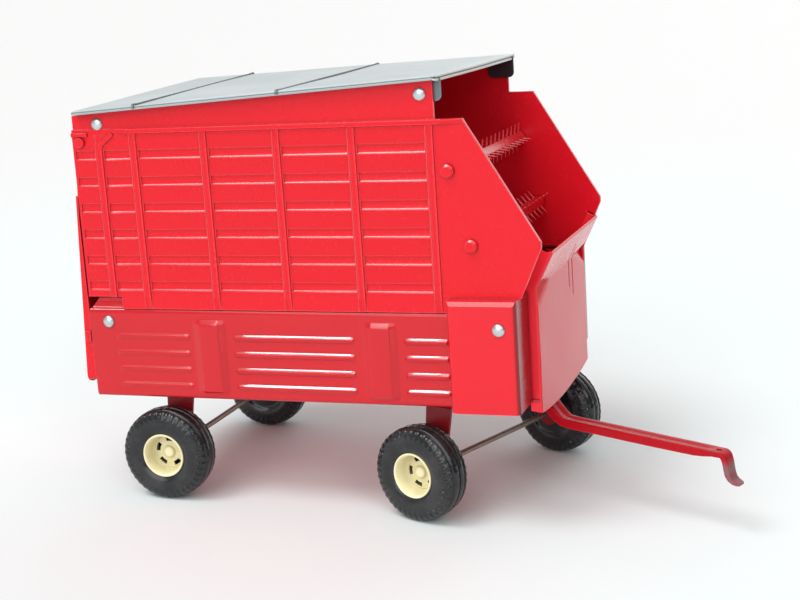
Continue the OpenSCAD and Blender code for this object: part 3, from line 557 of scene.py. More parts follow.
def side_panel(s, node):
    """Moulded panel with ribs, grooves, a rail and a sloping nose. s is 1 on the left and -1 on the right."""
    bays = [(rib - BAY + RIB_HALF, rib - RIB_HALF) for rib in RIB_X[:4]]
    bays += [(HALF_BAY_X + RIB_HALF, HALF_BAY_X + BAY / 2 - RIB_HALF), (REAR + 1.3, HALF_BAY_X - RIB_HALF)]
    xs = [REAR, REAR + 0.25, REAR + 1, REAR + 1.3, -188, -187.6, -0.6, -0.3, 3.0, 3.2]
    xs += [14.4, 24, 37, 40.5, 46, 50, 51.4, NOSE_X]
    for bay in bays:
        xs += bay_knots(*bay)
    for rib in RIBS:
        xs += [rib + d for d in RIB_EDGE]
    xs = lines(*xs)
    base = COVER_TOP + 0.05
    zs = [WAIST, WAIST + 0.25, 123.5, 123.75, base, base + 0.25]
    zs += [RAIL - 3.1, RAIL - 2.75, RAIL - 2.4, RAIL - 0.3, RAIL, RAIL + 0.3]
    zs = lines(*zs, *sum(GROOVES, []))
    # three more rows above the rail carry the plain band up to the roof
    band_rows = [0.4, 0.97, 1.0]
    X, Z = np.meshgrid(xs, np.concatenate([zs, [300 + t for t in band_rows]]), indexing="ij")
    x = X.copy()
    z = Z.copy()
    band_top = roof_line(x) - 0.1 - np.clip(REAR + 5 - x, 0, 4) * 0.15
    band_top = band_top + roof_twist(np.clip(along_roof(x), 0, 1), s * 73.0)
    for k, t in enumerate(band_rows):
        col = len(zs) + k
        z[:, col] = RAIL + 0.3 + t * (band_top[:, col] - RAIL - 0.3)
    # sloping nose: what lies ahead of the cover's rear edge is stretched between two outlines
    high = np.interp(x, [14.4, NOSE_X], [RAIL, 153.7])
    low = np.interp(x, [40.5, NOSE_X], [base, 150.5])
    ahead = x > 3.1
    t = np.clip((z - base) / (RAIL - base), 0, None)
    z = np.where(ahead & (Z >= base) & (Z <= RAIL + 0.001), low + t * (high - low), z)
    z = np.where(ahead & (Z > RAIL + 0.001), high + 0.01 * (Z - RAIL), z)
    in_bay = sum(np.interp(x, bay_knots(*bay), [0, 0.12, 1, 1, 0.12, 0]) for bay in bays)
    groove = groove_depth(z) * in_bay * (x < -3)
    rib = rib_height(x) * np.interp(z, [WAIST + 0.2, WAIST + 0.5], [0, 1]) * (z < RAIL - 2)
    rib *= 1 - (x < -190) * np.interp(z, [RAIL - 9.2, RAIL - 8.6], [0, 1])
    rail = np.interp(z, [RAIL - 3.1, RAIL - 2.75, RAIL - 2.4, RAIL - 0.3, RAIL], [0, 0.9, 1.4, 1.4, 1.1])
    rail *= np.interp(x, [-187.6, -187.2, 10.6, 12.6], [0, 1, 1, 0]) * (Z <= RAIL)
    y = PANEL + np.maximum(rib, rail) - groove
    y = np.where(Z > RAIL + 0.1, PANEL - 0.6, y)
    # rounded outer border
    y[[0, -1], :] -= 0.35
    y = np.where(Z <= WAIST + 0.01, y - 0.3, y)
    y = np.where(ahead & (np.abs(Z - RAIL) < 0.01), PANEL - 0.35, y)
    # cut away: a step at the rear foot, the corner taken by the cover, and both ends over the rail
    cx = (xs[:-1] + xs[1:])[:, None] / 2
    cz = (Z[0, :-1] + Z[0, 1:]) / 2
    rear_foot = (cx < -188) & (cz < 123.5)
    by_cover = (cx > 3.0) & (cz < base)
    over_rail = ((cx > -0.3) | (cx < REAR + 1)) & (cz > RAIL)
    keep = ~(rear_foot | by_cover | over_rail)
    outer = np.stack([x, y, z], -1)
    inner = np.stack([x, np.full_like(y, INSIDE), z], -1)
    wall = sided(shell(outer, inner, keep), s)
    obj = piece(f"{node}_moulding", *wall, BOX, BODY_OF[node], "red_moulding", sharp=40)
    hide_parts(node)
    # slanted brace in the rear half bay, and a stub of rail behind it
    foot = Vector((HALF_BAY_X, RAIL - 9.6))
    head = foot + Vector((9, 7))
    aside = 1.1 * (head - foot).normalized().orthogonal()
    brace = prism([foot + aside, foot - aside, head - aside, head + aside], 1, PANEL - 0.5, HALF)
    stub = box(REAR, REAR + 10, PANEL - 0.5, HALF, RAIL - 3.9, RAIL - 1.6)
    piece(f"{node}_brace", *sided(join(brace, stub), s), BOX, BODY_OF[node], "red_moulding", bevel=0.35)


side_panel(-1, "side_panel_right")
side_panel(1, "side_panel_left")


# ---------------------------------------------------------------- bed
# louvres as (rear end, front end, how far they stand out), posts as (rear edge, front edge)
LOUVRES = [(-194, -148.5, 0.7), (-122, -51.4, 1.0), (-23.8, 1.0, 1.0)]
LOUVRE_Z = [100.9 - 9.27 * i for i in range(4)]
POSTS = [(-145.4, -126.6), (-46.0, -27.6)]
POST_LEFT = (0, 0.45, 2.4, 3.9, 4.6)
POST_RIGHT = (-4.3, -4.0, -3.4, -0.95, -0.25, 0)


def bed_relief(x, z):
    """How far the louvres and posts stand out of the wall."""
    out = np.zeros_like(x)
    for a, b, amount in LOUVRES:
        for row in LOUVRE_Z:
            # distance from the bead's centre line, with round ends
            along = np.maximum(np.maximum(a + 1.7 - x, x - (b - 1.7)), 0)
            away = np.sqrt(along ** 2 + (z - row) ** 2)
            out = out + amount * np.interp(away, [0, 0.55, 0.85, 1.75, 1.95, 2.15, 2.75, 2.95],
                                           [1.12, 1.05, 0.92, 0.12, -0.22, -0.34, -0.04, 0])
    for a, b in POSTS:
        across = np.interp(x, [a + d for d in POST_LEFT] + [b + d for d in POST_RIGHT],
                           [0, 0.45, 0.6, 1.7, 1.8, 1.8, 1.72, 0.95, 0.85, 0.1, 0])
        up = np.interp(z, [FLOOR + 2.6, FLOOR + 3.2, FLOOR + 5.2, 107.6, 108.4, 110.4, 111.0],
                       [0, 0.05, 1, 1, 0.92, 0.1, 0])
        out = np.maximum(out, across * up)
    return out


def bed():
    """One pressed sheet: floor and both walls, open at the front corners and at the left outlet."""
    xs = [-210, -209.7, -203.6, 10, 33, 37.2, 38.3, 43.1, 43.4]
    for a, b, _ in LOUVRES:
        for end, way in ((a, 1), (b, -1)):
            xs += [end + way * d for d in (-1.25, -1.05, -0.45, -0.25, -0.05, 0.3, 0.85, 1.15, 1.7)]
    for a, b in POSTS:
        xs += [a + d for d in POST_LEFT] + [b + d for d in POST_RIGHT]
    xs += list(np.arange(-200, 40, 9.7))
    xs = lines(*xs)
    wall = [FLOOR + 2.6, FLOOR + 3.2, FLOOR + 5.2, 74.0, 106.0, 107.6, 108.4, 110.4, 111.0, 112.4, 113.0]
    for row in LOUVRE_Z:
        wall += [row + way * d for d in (0.55, 0.85, 1.75, 1.95, 2.15, 2.75, 2.95) for way in (-1, 1)] + [row]
    wall = lines(*wall)
    # half of the section: down the lip and the wall, round the bend, in along the floor
    fold = 2.4
    half = [(INSIDE - 0.05, 122.4), (INSIDE - 0.05, 117.3), (INSIDE + 0.35, 116.8), (BED - 0.35, 116.2),
            (BED - 0.05, 115.7)]
    half += [(BED, z) for z in wall[::-1]]
    half += [(BED - fold + fold * math.cos(a), FLOOR + fold - fold * math.sin(a))
             for a in np.linspace(0, math.pi / 2, 6)[1:]]
    half += [(y, FLOOR) for y in (60, 57.3, 30, 10)]
    sec = np.array(half + [(-y, z) for y, z in half[::-1]])
    # the section runs from the left top down and round, so its outward side is to the left of travel
    along = np.gradient(sec, axis=0)
    normal = np.stack([-along[:, 1], along[:, 0]], -1)
    normal /= np.linalg.norm(normal, axis=1)[:, None]
    X, Y = np.meshgrid(xs, sec[:, 0], indexing="ij")
    Z = np.broadcast_to(sec[:, 1], X.shape).copy()
    relief = np.zeros_like(X)
    on_wall = np.isclose(np.abs(sec[:, 0]), BED)
    relief[:, on_wall] = bed_relief(X[:, on_wall], Z[:, on_wall])
    # long shallow waves keep the sheet from looking perfectly flat
    wave = 0.12 * np.sin(X / 19 + 1.3) * np.sin(Z / 15) + 0.08 * np.sin(X / 8.3 + Z / 11)
    wave *= np.interp(Z, [FLOOR + 2.6, FLOOR + 8, 104, 112], [0, 1, 1, 0])
    push = relief + wave * on_wall[None, :]
    # the rear top corner is cut off at a slant
    cut = np.interp(Z, [115.5, 122.4], [0, 6.4])
    X = np.where(X < -203, -203 + (X + 203) * (7 - cut) / 7, X)
    outer = np.stack([X, Y + normal[None, :, 0] * push, Z + normal[None, :, 1] * push], -1)
    pull = STEEL - push * 0.9
    inner = np.stack([X, Y - normal[None, :, 0] * pull, Z - normal[None, :, 1] * pull], -1)
    # cut away: the two front corners, and the outlet on the left
    cx = (xs[:-1] + xs[1:])[:, None] / 2
    cy, cz = (sec[:-1] + sec[1:]).T / 2
    corner = (cx > 38.3) & (np.abs(cy) > 57.3)
    outlet = (cx > 10) & (cx < 33) & (cy > 70) & (cz > 74) & (cz < 106)
    sheet = shell(outer, inner, ~(corner | outlet))
    obj = piece("bed_sheet", *sheet, BOX, "wagon_box", "red_steel", sharp=50)
    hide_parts("bed_pan")


bed()


# ---------------------------------------------------------------- roof
def roof_bar(name, place, centres, radii, look):
    """A rounded bar across the roof, through a row of centres."""
    rings = []
    for (x, y, z), r in zip(centres, radii):
        rings.append([(x + r * math.cos(a), y, z + r * math.sin(a))
                      for a in np.linspace(0, 2 * math.pi, 10, endpoint=False)])
    piece(name, *tube(rings), place, "wagon_box", "roof_steel", look=look, sharp=60)


def roof():
    """Flat twisted sheet with turned-down edges, four lugs, two seams and a double hem across the front."""
    slope = math.atan2(ROOF_HIGH - ROOF_LOW, ROOF_FRONT - ROOF_REAR)
    length = (ROOF_FRONT - ROOF_REAR) / math.cos(slope)
    place = BOX @ Matrix.Translation((ROOF_REAR, 0, ROOF_LOW)) @ Matrix.Rotation(-slope, 4, "Y")
    half = ROOF_HALF
    across = [(-half, 0), (-half - 0.12, 0.5), (-half, 0.95), (-half + 0.3, 1.15), (-half + 0.25, 1.35),
              (-half - 0.08, 1.55), (-half, 1.9), (-half + 0.3, 2.12), (-half + 1.0, 2.2)]
    across += [(y, 2.2) for y in (-60, -40, -20, 0)]
    across += [(-y, z) for y, z in across[-2::-1]]
    back = [(0, 0), (-0.03, 1.3), (0.12, 1.8), (0.5, 2.15), (1.0, 2.2)]
    front = [(length - 1.4, 2.2), (length - 0.6, 2.12), (length - 0.1, 1.8), (length, 1.3), (length, 0.0)]
    middle = [(x, 2.2) for x in np.linspace(12, length - 12, 22)]
    along = np.array(back + middle + front)
    cross = np.array(across)
    X, Y = np.meshgrid(along[:, 0], cross[:, 0], indexing="ij")
    Za, Zb = np.meshgrid(along[:, 1], cross[:, 1], indexing="ij")
    Z = np.minimum(Za, Zb)
    flat = Z > 2.19
    sag = 0.25 * np.cos(Y / half * math.pi / 2) ** 2 * np.interp(X, [length - 30, length - 2], [0, 1])
    low = Z.copy()
    Z = Z + flat * (0.22 * np.sin(X / 26 + 0.4) * np.sin(Y / 31 + 1.1)) - sag
    iX = np.clip(X, STEEL, length - STEEL)
    iY = np.clip(Y, -half + STEEL, half - STEEL)
    iZ = np.where(flat, Z - 0.8, np.minimum(low, 1.4) - sag)
    lift = roof_twist(X / length, Y)
    outer = np.stack([X, Y, Z + lift], -1)
    inner = np.stack([iX, iY, iZ + lift], -1)
    sheet = piece("roof_sheet", *shell(outer, inner), place, "wagon_box", "roof_steel", sharp=50)
    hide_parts("roof")
    # lugs folded down inside the panels, riveted through
    lug_half, corner = 7.75, 3.0
    for x, low_z, label in ((-4.2, ROOF_HIGH - 11, "front"), (-192.7, ROOF_LOW - 10, "rear")):
        for s, side, look in ((-1, "right", LUG_STEEL), (1, "left", LUG_DARK)):
            top = roof_line(x) + 0.9 + roof_twist(along_roof(x), s * 72)
            turn = [(corner * math.cos(a), corner * math.sin(a)) for a in np.linspace(0, math.pi / 2, 6)]
            outline = [(x - lug_half, top)]
            outline += [(x - lug_half + corner - c, low_z + corner - d) for c, d in turn]
            outline += [(x + lug_half - corner + d, low_z + corner - c) for c, d in turn]
            outline += [(x + lug_half, top)]
            solid = sided(prism(outline, 1, INSIDE - STEEL, INSIDE - 0.02), s)
            piece(f"roof_lug_{label}_{side}", *solid, BOX, "wagon_box", "roof_steel", bevel=0.3, look=look)
    # seams: half-round folds standing on the sheet, ending in a small bump over each edge
    ys = [-78.9, -78.6, -78.0, -77.2, -76.4] + list(np.linspace(-72, 72, 25)) + [76.4, 77.2, 78.0, 78.6, 78.9]
    heights = [1.0, 1.5, 2.1, 2.4, 2.45] + [2.3] * 25 + [2.45, 2.4, 2.1, 1.5, 1.0]
    radii = [0.35, 0.75, 0.9, 0.85, 0.72] + [0.62] * 25 + [0.72, 0.85, 0.9, 0.75, 0.35]
    for k in (1, 2):
        x = length - 0.75 - 84.0 * k
        centres = [(x + 0.12 * math.sin(y / 17 + k), y, z + roof_twist(x / length, y))
                   for y, z in zip(ys, heights)]
        roof_bar(f"roof_seam_{k}", place, centres, radii, SEAM)
    # rolled double hem across the front edge, bowed down in the middle and raised at both corners
    ys = np.linspace(-78.4, 78.4, 33)
    bow = [(0.5 if abs(y) > 77 else 0) - 0.25 * math.cos(y / half * math.pi / 2) ** 2 for y in ys]
    # the core is a dark bar set in the gap between the two beads: a painted shadow
    for name, dx, dz, r, look in (("upper", 0.6, 1.55, 0.72, HEM), ("lower", 0.6, -0.25, 0.82, HEM),
                                  ("core", 0.35, 0.6, 0.55, SEAM)):
        centres = [(length + dx, y, dz + rise) for y, rise in zip(ys, bow)]
        roof_bar(f"roof_hem_{name}", place, centres, [0.6 * r] + [r] * 31 + [0.6 * r], look)


roof()


# ---------------------------------------------------------------- rivets
def rivet(x, z, seat):
    r, high = 3.4, 1.75
    dome = [(0, high)]
    dome += [(r * math.sin(a), high * math.cos(a) ** 0.9) for a in np.linspace(0.15, 1.35, 7)]
    dome += [(r, 0.28), (r - 0.05, 0.02), (0, 0.02)]
    return lathe(dome, 36, (x, seat, z))


def rivet_heads(where, rivets):
    both = [sided(solid, s) for solid in rivets for s in (-1, 1)]
    obj = piece(f"{where}_rivet_heads", *join(*both), BOX, "wagon_box", "rivet", sharp=60)
    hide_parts(f"{where}_rivets")


rivet_heads("roof", [rivet(-7.3, 229.1, PANEL - 0.6), rivet(-192.7, 219.3, PANEL - 0.6)])
rivet_heads("side", [rivet(-198.2, 109.1, BED), rivet(30.4, 110.2, COVER_SIDE)])


# ---------------------------------------------------------------- wheels
def tyre_mesh():
    """Ribbed tread with slanted notches, and a bar pattern on the shoulders. Inside it seats on the rim."""
    lugs = 40
    # half of the section from the bead to the middle of the tread, as (radius, y), with the depth of each
    # point's notch and how far it is skewed
    profile = [(12.0, 7.2), (12.25, 7.55), (12.9, 8.0), (14.0, 8.55), (15.4, 8.98), (17.0, 9.2), (18.6, 9.22),
               (19.8, 9.08), (20.5, 8.9), (20.8, 8.98), (21.2, 9.1), (22.4, 8.95), (23.6, 8.45), (24.6, 7.65),
               (25.2, 6.75), (25.35, 6.2), (25.05, 5.7), (24.3, 5.45), (24.2, 4.9), (24.4, 4.6), (25.3, 4.35),
               (25.75, 3.9), (25.95, 2.6), (26.0, 1.3), (25.85, 0.7), (25.2, 0.45), (25.1, 0.0)]
    depth = [0] * 9 + [0.3, 0.8, 1.0, 1.0, 0.65, 0.35, 0.12, 0] + [0] * 4 + [0.10, 0.14, 0.16, 0.14, 0.04, 0]
    skew = [0] * 20 + [0.1, 0.25, 0.55, 0.8, 0.95, 1.0, 1.0]
    profile += [(r, -y) for r, y in profile[-2:1:-1]] + [(11.2, -8.3), (6.0, -8.3), (4.4, -8.1)]
    depth += depth[-2:1:-1] + [0, 0, 0]
    skew += [-v for v in skew[-2:1:-1]] + [0, 0, 0]
    # stations round one lug, and which of them are notched
    knots = [0.0, 0.09, 0.3, 0.56, 0.65, 0.85]
    notched = [0, 1, 1, 1, 0, 0]
    pitch = 2 * math.pi / lugs
    turns = pitch * np.array([lug + knot for lug in range(lugs) for knot in knots])
    p = np.array(profile)
    along = np.gradient(p, axis=0)
    normal = np.stack([-along[:, 1], along[:, 0]], -1)
    normal /= np.linalg.norm(normal, axis=1)[:, None]
    sink = np.tile(notched, lugs)[:, None] * 0.5 * np.array(depth)
    r = p[:, 0] - normal[:, 0] * sink
    y = p[:, 1] - normal[:, 1] * sink
    angle = turns[:, None] + 0.35 * pitch * np.array(skew)
    outer = np.stack([r * np.sin(angle), y, r * np.cos(angle)], -1)
    count = len(profile) - 2
    seat = [(12.0, 7.0 - 14.4 * min(j / (count - 2), 1)) for j in range(count)] + [(6.0, -7.5), (4.4, -7.5)]
    return shell(outer, revolve(seat, turns), wrap=True)


def rim_mesh():
    """Dished disc with five slots and a closed hub, from its front and back profiles of (radius, y)."""
    front = [(0.05, 2.1), (0.9, 2.08), (1.7, 2.0), (2.3, 1.85), (2.9, 1.55), (3.2, 1.2), (3.4, 0.8),
             (3.6, 0.25), (4.2, 0.0), (6.1, 0.0), (8.45, 0.0), (8.58, 0.12), (8.7, 0.5), (8.95, 0.62),
             (9.3, 0.4), (9.7, 0.45), (10.1, 1.0), (10.45, 1.9), (10.75, 4.4), (11.0, 7.0), (11.15, 7.9),
             (11.4, 8.4), (11.8, 8.65), (12.2, 8.6), (12.5, 8.2), (12.5, 7.8), (12.05, 7.5), (11.9, 6.5)]
    back = [(0.05, 1.1), (1.68, 1.05), (1.69, -8.4), (2.6, -8.6), (3.2, -8.5), (3.5, -6.0), (3.6, -3.0),
            (3.7, -1.6), (4.2, -1.4), (6.1, -0.5), (8.45, -0.5), (8.58, -0.6), (8.8, -1.4), (9.1, -1.4),
            (9.4, -1.4), (9.8, -1.5), (10.2, -1.9), (10.5, -2.6), (10.6, -4.0), (10.6, -5.0), (10.6, -6.0),
            (10.6, -7.2), (10.9, -7.4), (11.4, -7.4), (11.8, -7.3), (12.0, -6.0), (12.0, 0.0), (11.95, 6.0)]
    slots = 5
    spacing = 2 * math.pi / slots
    # half the angle of a slot, and its inner and outer radius
    half, slot_in, slot_out = 0.33, 6.0, 8.5
    angles = []
    for k in range(slots):
        centre = spacing * k
        angles += [centre - half, *np.linspace(centre - half * 0.9, centre + half * 0.9, 6)]
        angles += list(np.linspace(centre + half, centre + spacing - half, 12)[:-1])
    angles = np.array(sorted(angles))
    middles = angles + (np.roll(angles, -1) - angles) % (2 * math.pi) / 2
    in_slot = np.abs(middles - np.round(middles / spacing) * spacing) < half * 0.95
    radii = np.array(front)[:, 0]
    radii = (radii[:-1] + radii[1:]) / 2
    keep = ~(in_slot[:, None] & (radii > slot_in) & (radii < slot_out))
    return shell(revolve(front, angles), revolve(back, angles), keep, wrap=True)


HALF_TRACK, AXLE_Z = 69.3, 26.0
# where each wheel has come to a stop
WHEEL_TURN = {("rear", "right"): 0.0, ("rear", "left"): 1.1,
              ("front", "right"): -0.35, ("front", "left"): 0.8}
TYRE = tyre_mesh()
RIM = rim_mesh()
for gear, frame_of in (("rear", REAR_GEAR), ("front", GEAR)):
    for side, s in (("right", -1), ("left", 1)):
        body = f"wheel_{gear}_{side}"
        hub = frame_of @ Matrix.Translation((0, s * HALF_TRACK, AXLE_Z))
        place = hub @ Matrix.Rotation(WHEEL_TURN[gear, side], 4, "Y")
        tyre = piece(f"tyre_rubber_{gear}_{side}", *sided(TYRE, s), place, body, "tyre", sharp=45)
        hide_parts(f"tyre_{gear}_{side}")
        rim = piece(f"rim_moulding_{gear}_{side}", *sided(RIM, s), place, body, "rim", sharp=35)
        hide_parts(f"rim_{gear}_{side}")


# ---------------------------------------------------------------- front hopper
def dart(from_side, over_bend):
    """Depth of the triangular dart pressed in at the bend next to each side."""
    reach = max(0.0, 27.0 - from_side)
    tall = 9.5 if over_bend < 0 else 4.0
    return 3.1 * max(0.0, min(1.0, reach / 25.0) - abs(over_bend) / tall) * min(1.0, reach / 6.0)


def hopper():
    """Upright face, a collar leaning forward above the bend and a rolled lip, all wrapped round the sides."""
    half, face_x = 56.5, 44.6
    bend, lip = 126.5, (53.3, 144.0)
    upright, leaning = 67.0, 19.5
    # the side wrap, as (distance behind the face, y)
    wrap = [(6.1, half), (4.5, half), (3.0, half), (1.5, half), (0.8, half), (0.35, half - 0.15),
            (0.1, half - 0.45), (0.0, half - 0.9)]
    # upright nicks pressed in, as (y, bottom, top)
    nicks = [(16.0, 112.0, 135.0), (24.5, 106.0, 131.0)]
    ys = [way * y for y in (36, 40, 43, 46, 48, 50, 52, 54) for way in (-1, 1)]
    ys += list(np.linspace(-34, 34, 24))
    for y, _, _ in nicks:
        ys += [y - 1.2, y - 0.85, y - 0.65, y + 0.65, y + 0.85, y + 1.2]
    cols = wrap + [(0.0, y) for y in sorted(ys, reverse=True)] + [(d, -y) for d, y in wrap[::-1]]
    levels = [0, 0.3, *np.linspace(2, 44, 8), 46.5, 49, 52, 55, 57, 59, 61, 63, 65, 66, 66.6, upright]
    rows = [("up", v) for v in levels]
    rows += [("lean", v) for v in (0.4, 1.0, 2, 3.5, 5, 7, 9, 11, 13, 15, 17, 18.6, leaning)]
    rows += [("roll", a) for a in (25, 60, 100, 140, 175)]
    lean = Vector((lip[0] - face_x, lip[1] - bend)).normalized()
    out = np.zeros((len(rows), len(cols), 3))
    ins = np.zeros_like(out)
    for i, (kind, v) in enumerate(rows):
        for j, (d, y) in enumerate(cols):
            if kind == "up":
                bottom = 59.5 - 3.6 * max(0.0, 1 - (y / half) ** 2) + d * 0.15
                z = bottom + (bend - bottom) * v / upright
                x = face_x - d
                z += d * 0.23 * max(0.0, (v - 50) / 17)
                n = Vector((1, 0))
            else:
                along = v if kind == "lean" else leaning
                x = face_x + lean.x * along - d * (0.99 - 0.06 * along / leaning)
                z = bend + lean.y * along + d * (0.23 + 0.2 * along / leaning)
                n = Vector((lean.y, -lean.x))
                if kind == "roll":
                    a = math.radians(v)
                    centre = Vector((x, z)) - n * 0.9
                    turned = n * math.cos(a) + lean * math.sin(a)
                    x, z = centre + turned * 0.9
                    n = turned
            sink = 0.0
            if d == 0.0 and kind != "roll":
                sink = dart(half - abs(y), z - bend if kind == "up" else v)
                sink += 1.5 * sum(low < z < high and abs(y - nick_y) < 0.7 for nick_y, low, high in nicks)
            wave = 0.10 * math.sin(y / 14.0 + 0.6) * math.sin(z / 11.0) + 0.04 * math.sin(y / 9.0 + z / 6.0)
            shift = (wave if d == 0 and kind == "up" else 0) - sink
            out[i, j] = (x + n.x * shift, y, z + n.y * shift)
            thick = STEEL if kind != "roll" else 0.6
            side = math.copysign(1, y)
            if d > 0.6:
                ins[i, j] = (x, y - side * thick, z)
            elif d > 0:
                ins[i, j] = (x - n.x * thick * 0.8, y - side * thick * 0.8, z - n.y * thick * 0.8)
            else:
                ins[i, j] = (x + n.x * (shift - thick), y, z + n.y * (shift - thick))
    obj = piece("hopper_sheet", *shell(out, ins), BOX, "wagon_box", "red_steel", sharp=38, look=HOPPER_STEEL)
    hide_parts("front_hopper")


hopper()


# ---------------------------------------------------------------- beaters
# how a tooth tapers, as (radius, half width, half thickness)
TOOTH = ((2.2, 0.85, 0.7), (4.6, 0.75, 0.62), (7.4, 0.55, 0.5), (8.2, 0.42, 0.4), (8.5, 0.22, 0.22))


def reel(name, at, turn, node):
    """Square bar with a row of teeth on each of its four sides."""
    half, pitch, core = INSIDE - 1.2, 8.6, 3.54
    place = BOX @ Matrix.Translation((at[0], 0, at[1])) @ Matrix.Rotation(math.radians(turn), 4, "Y")
    square = []
    for k in range(4):
        for past, r in ((-0.14, core - 0.135), (0, core), (0.14, core - 0.135)):
            a = math.pi / 2 * k + past
            square.append((r * math.sin(a), r * math.cos(a)))
    bar = prism(square, 1, -half, half)
    teeth = []
    count = int((2 * half - 4) / pitch)
    for row in range(4):
        a = math.pi / 2 * row
        out = Vector((math.sin(a), 0, math.cos(a)))
        side = Vector((math.cos(a), 0, -math.sin(a)))
        for i in range(count + 1):
            y = (i - count / 2) * pitch
            rings = []
            for r, w, t in TOOTH:
                centre = out * r + Vector((0, y + 0.12 * math.sin(i * 2.1 + row), 0))
                rings.append([tuple(centre + side * (t * math.cos(b)) + Vector((0, w * math.sin(b), 0)))
                              for b in np.linspace(0, 2 * math.pi, 8, endpoint=False)])
            teeth.append(tube(rings))
    obj = piece(name, *join(bar, *teeth), place, BODY_OF[node], "red_moulding", sharp=50)
    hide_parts(node)


reel("reel_upper", UPPER, 8, "beater_upper_reel")
reel("reel_lower", LOWER, -40, "beater_lower_reel")


# ---------------------------------------------------------------- tongue
def tongue():
    """Stamped channel: a flat plate on the kingpin, a swan neck, a long beaded bar and a drop hook."""
    plate_z = 58.2
    kingpin_r, hitch_x, hitch_r = 2.08, 140, 1.8
    # stations along the stamping: forward reach, height, half width, flange depth
    stations = [(-11, plate_z, 11, 0.0)] + [(kingpin_r * k, plate_z, 11, 0.0) for k in (-1, -0.5, 0, 0.5, 1)]
    stations += [(20, plate_z, 11, 0.0), (27, plate_z, 9.5, 0.6), (32, plate_z, 6.6, 3.2),
                 (34.5, plate_z - 0.2, 6.0, 4.2), (36.4, plate_z - 1.4, 5.8, 4.2), (40, 54.2, 5.5, 3.9),
                 (44.5, 49.9, 5.3, 3.6), (46.6, 48.0, 5.2, 3.4), (49, 46.6, 5.2, 3.3), (54, 46.2, 5.2, 3.3),
                 (70, 46.0, 5.15, 3.3), (90, 45.6, 5.25, 3.3), (110, 45.2, 5.15, 3.2), (128, 44.9, 5.2, 3.0),
                 (133, 44.75, 5.2, 2.4), (136.6, 44.68, 5.2, 1.8)]
    stations += [(hitch_x + hitch_r * k, 44.6 - 0.02 * k, 5.15, 1.4) for k in (-1, -0.5, 0, 0.5, 1)]
    # the drop hook
    stations += [(143.3, 44.3, 4.9, 1.3), (144.7, 43.4, 4.6, 1.5), (145.7, 41.8, 4.4, 1.6),
                 (146.5, 39.4, 4.3, 1.6), (147.2, 36.2, 4.2, 1.6), (147.9, 33.2, 4.2, 1.5),
                 (148.8, 31.3, 4.1, 0.9), (150.1, 30.2, 4.0, 0.5), (151.7, 29.6, 3.6, 0.3),
                 (152.9, 29.5, 2.5, 0.3)]
    pts = np.array(stations)
    step = np.gradient(pts[:, :2], axis=0)
    step /= np.linalg.norm(step, axis=1)[:, None]
    normal = np.stack([-step[:, 1], step[:, 0]], -1)
    rows_out, rows_in = [], []
    for (sx, sz, w, f), n in zip(stations, normal):
        f = max(f, 0.02)
        bead = 0.45 if 40 < sx < 136 else 0.0
        left = [(-w, -f - 1.2), (-w - 0.02, -min(f, 0.9) - 0.3), (-w + 0.1, -0.45), (-w + 0.45, -0.08),
                (-w + 1.1, 0.0), (-1.9, 0.0), (-0.95, -bead)]
        sec = left + [(0, -bead)] + [(-t, h) for t, h in left[::-1]]
        if f < 0.1:
            sec = [(t, max(h, -0.02 if abs(t) > w - 0.5 else h)) for t, h in sec]
        thick = STEEL if sx < hitch_x else 1.5
        ins = []
        for t, h in sec:
            if abs(t) > w - 0.3:
                ins.append((math.copysign(w - thick, t), min(h, -thick)))
            else:
                ins.append((max(-w + thick, min(w - thick, t)), h - thick))
        rows_out.append([(sx + n[0] * h, t, sz + 0.6 + n[1] * h) for t, h in sec])
        rows_in.append([(sx + n[0] * h, t, sz + 0.6 + n[1] * h) for t, h in ins])
    out, ins = np.array(rows_out), np.array(rows_in)
    keep = np.ones((len(out) - 1, out.shape[1] - 1), bool)
    # holes for the kingpin and the hitch pin: a square of cells is opened and its rim drawn to a circle
    for centre, r in ((0, kingpin_r), (hitch_x, hitch_r)):
        first = int(np.argmin(np.abs(pts[:, 0] - (centre - r))))
        keep[first:first + 4, 5:9] = False
        for i in range(5):
            for j in range(5):
                u, v = (i - 2) / 2, (j - 2) / 2
                if max(abs(u), abs(v)) == 1:
                    for grid in (out, ins):
                        grid[first + i, 5 + j, 0] = centre + r * u / math.hypot(u, v)
                        grid[first + i, 5 + j, 1] = r * v / math.hypot(u, v)
    sheet = shell(out, ins, keep)
    obj = piece("tongue_stamping", *sheet, GEAR, "front_gear", "red_steel", sharp=42, look=TONGUE_STEEL)
    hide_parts("tongue")
    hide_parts("hitch_end")


tongue()


# ---------------------------------------------------------------- CAD nodes shown as they are
EDGE_RADIUS = {
    0.45: ["corner_cover_right", "discharge_cover_left"],
    0.3: ["front_bolster", "tailgate", "rear_bracket", "front_bracket"],
    0.25: ["beater_upper_shaft", "beater_lower_shaft"],
    0.2: ["tailgate_pins", "rear_axle", "kingpin", "front_axle"],
    0.15: ["rear_bracket_rivets", "tongue_rivets"],
}


def dress(node, radius):
    """The look of its slot, and softened edges."""
    obj = NODES[node]
    obj.data.materials.clear()
    obj.data.materials.append(COVER_STEEL if "cover" in node else LOOKS[SLOT_OF[node]])
    flat = obj.modifiers.new("flat faces", "DECIMATE")
    flat.decimate_type = "DISSOLVE"
    flat.angle_limit = math.radians(2)
    soften(obj, radius, 3, 35)
    obj.data.set_sharp_from_angle(angle=math.radians(35))


for radius, nodes in EDGE_RADIUS.items():
    for node in nodes:
        dress(node, radius)


# ---------------------------------------------------------------- stage, light and camera
def heading(azimuth, elevation):
    """Direction seen from the wagon. Azimuth 0 is the near side, positive towards the wagon's front."""
    a, e = math.radians(azimuth), math.radians(elevation)
    return Vector((math.sin(a) * math.cos(e), -math.cos(a) * math.cos(e), math.sin(e)))


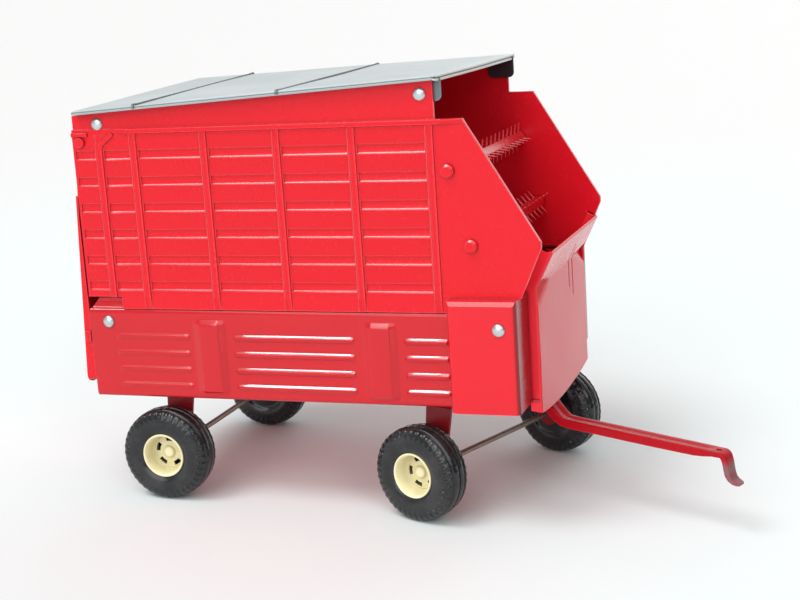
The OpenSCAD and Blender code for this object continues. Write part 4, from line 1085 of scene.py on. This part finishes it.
def floor():
    reach = 40
    mesh = bpy.data.meshes.new("studio_floor")
    corners = [(-reach, -reach, 0), (reach, -reach, 0), (reach, reach, 0), (-reach, reach, 0)]
    mesh.from_pydata(corners, [], [(0, 1, 2, 3)])
    mesh.materials.append(floor_look())
    obj = bpy.data.objects.new("studio_floor", mesh)
    bpy.context.scene.collection.objects.link(obj)
    return obj


floor()

world = bpy.data.worlds.new("studio")
world.use_nodes = True
sky = world.node_tree.nodes
link = world.node_tree.links.new
# even white surround, darker off the wagon's front end
direction = sky.new("ShaderNodeTexCoord")
toward = sky.new("ShaderNodeVectorMath")
toward.operation = "DOT_PRODUCT"
toward.inputs[1].default_value = heading(82, 0) + Vector((0, 0, 0.12))
fade = sky.new("ShaderNodeMapRange")
fade.interpolation_type = "SMOOTHSTEP"
for key, value in (("From Min", 0.60), ("From Max", 0.90), ("To Min", 0.52), ("To Max", 0.15)):
    fade.inputs[key].default_value = value
link(direction.outputs["Generated"], toward.inputs[0])
link(toward.outputs["Value"], fade.inputs["Value"])
link(fade.outputs[0], sky["Background"].inputs["Strength"])
sky["Background"].inputs["Color"].default_value = (1.0, 1.0, 1.0, 1)
bpy.context.scene.world = world


def sky_light(name, azimuth, elevation, strength, spread):
    """A broad even light."""
    lamp = bpy.data.lights.new(name, "SUN")
    lamp.energy = strength
    lamp.angle = math.radians(spread)
    obj = bpy.data.objects.new(name, lamp)
    obj.rotation_euler = heading(azimuth, elevation).to_track_quat("Z", "Y").to_euler()
    bpy.context.scene.collection.objects.link(obj)


sky_light("key", -44, 58, 1.05, 26)
sky_light("front", -4, 58, 0.42, 36)
sky_light("window", -8, 24, 0.96, 46)
sky_light("far_window", 42, 30, 0.34, 20)
sky_light("back_window", 172, 26, 0.5, 50)

view = bpy.data.objects.new("camera", bpy.data.cameras.new("camera"))
bpy.context.scene.collection.objects.link(view)
roll = math.radians(-1.51)
back = heading(19.36, 13.01)
right = Vector((0, 0, 1)).cross(back).normalized()
up = back.cross(right)
across = right * math.cos(roll) + up * math.sin(roll)
upright = up * math.cos(roll) - right * math.sin(roll)
pose = Matrix((across, upright, back)).transposed().to_4x4()
pose.translation = Vector((pivot.x + 0.22168, -0.78814, 0.29723))
view.matrix_world = pose
view.data.lens = 67.34
view.data.sensor_width = 36
view.data.clip_start = 0.01
bpy.context.scene.camera = view
bpy.context.scene.view_settings.view_transform = "Standard"
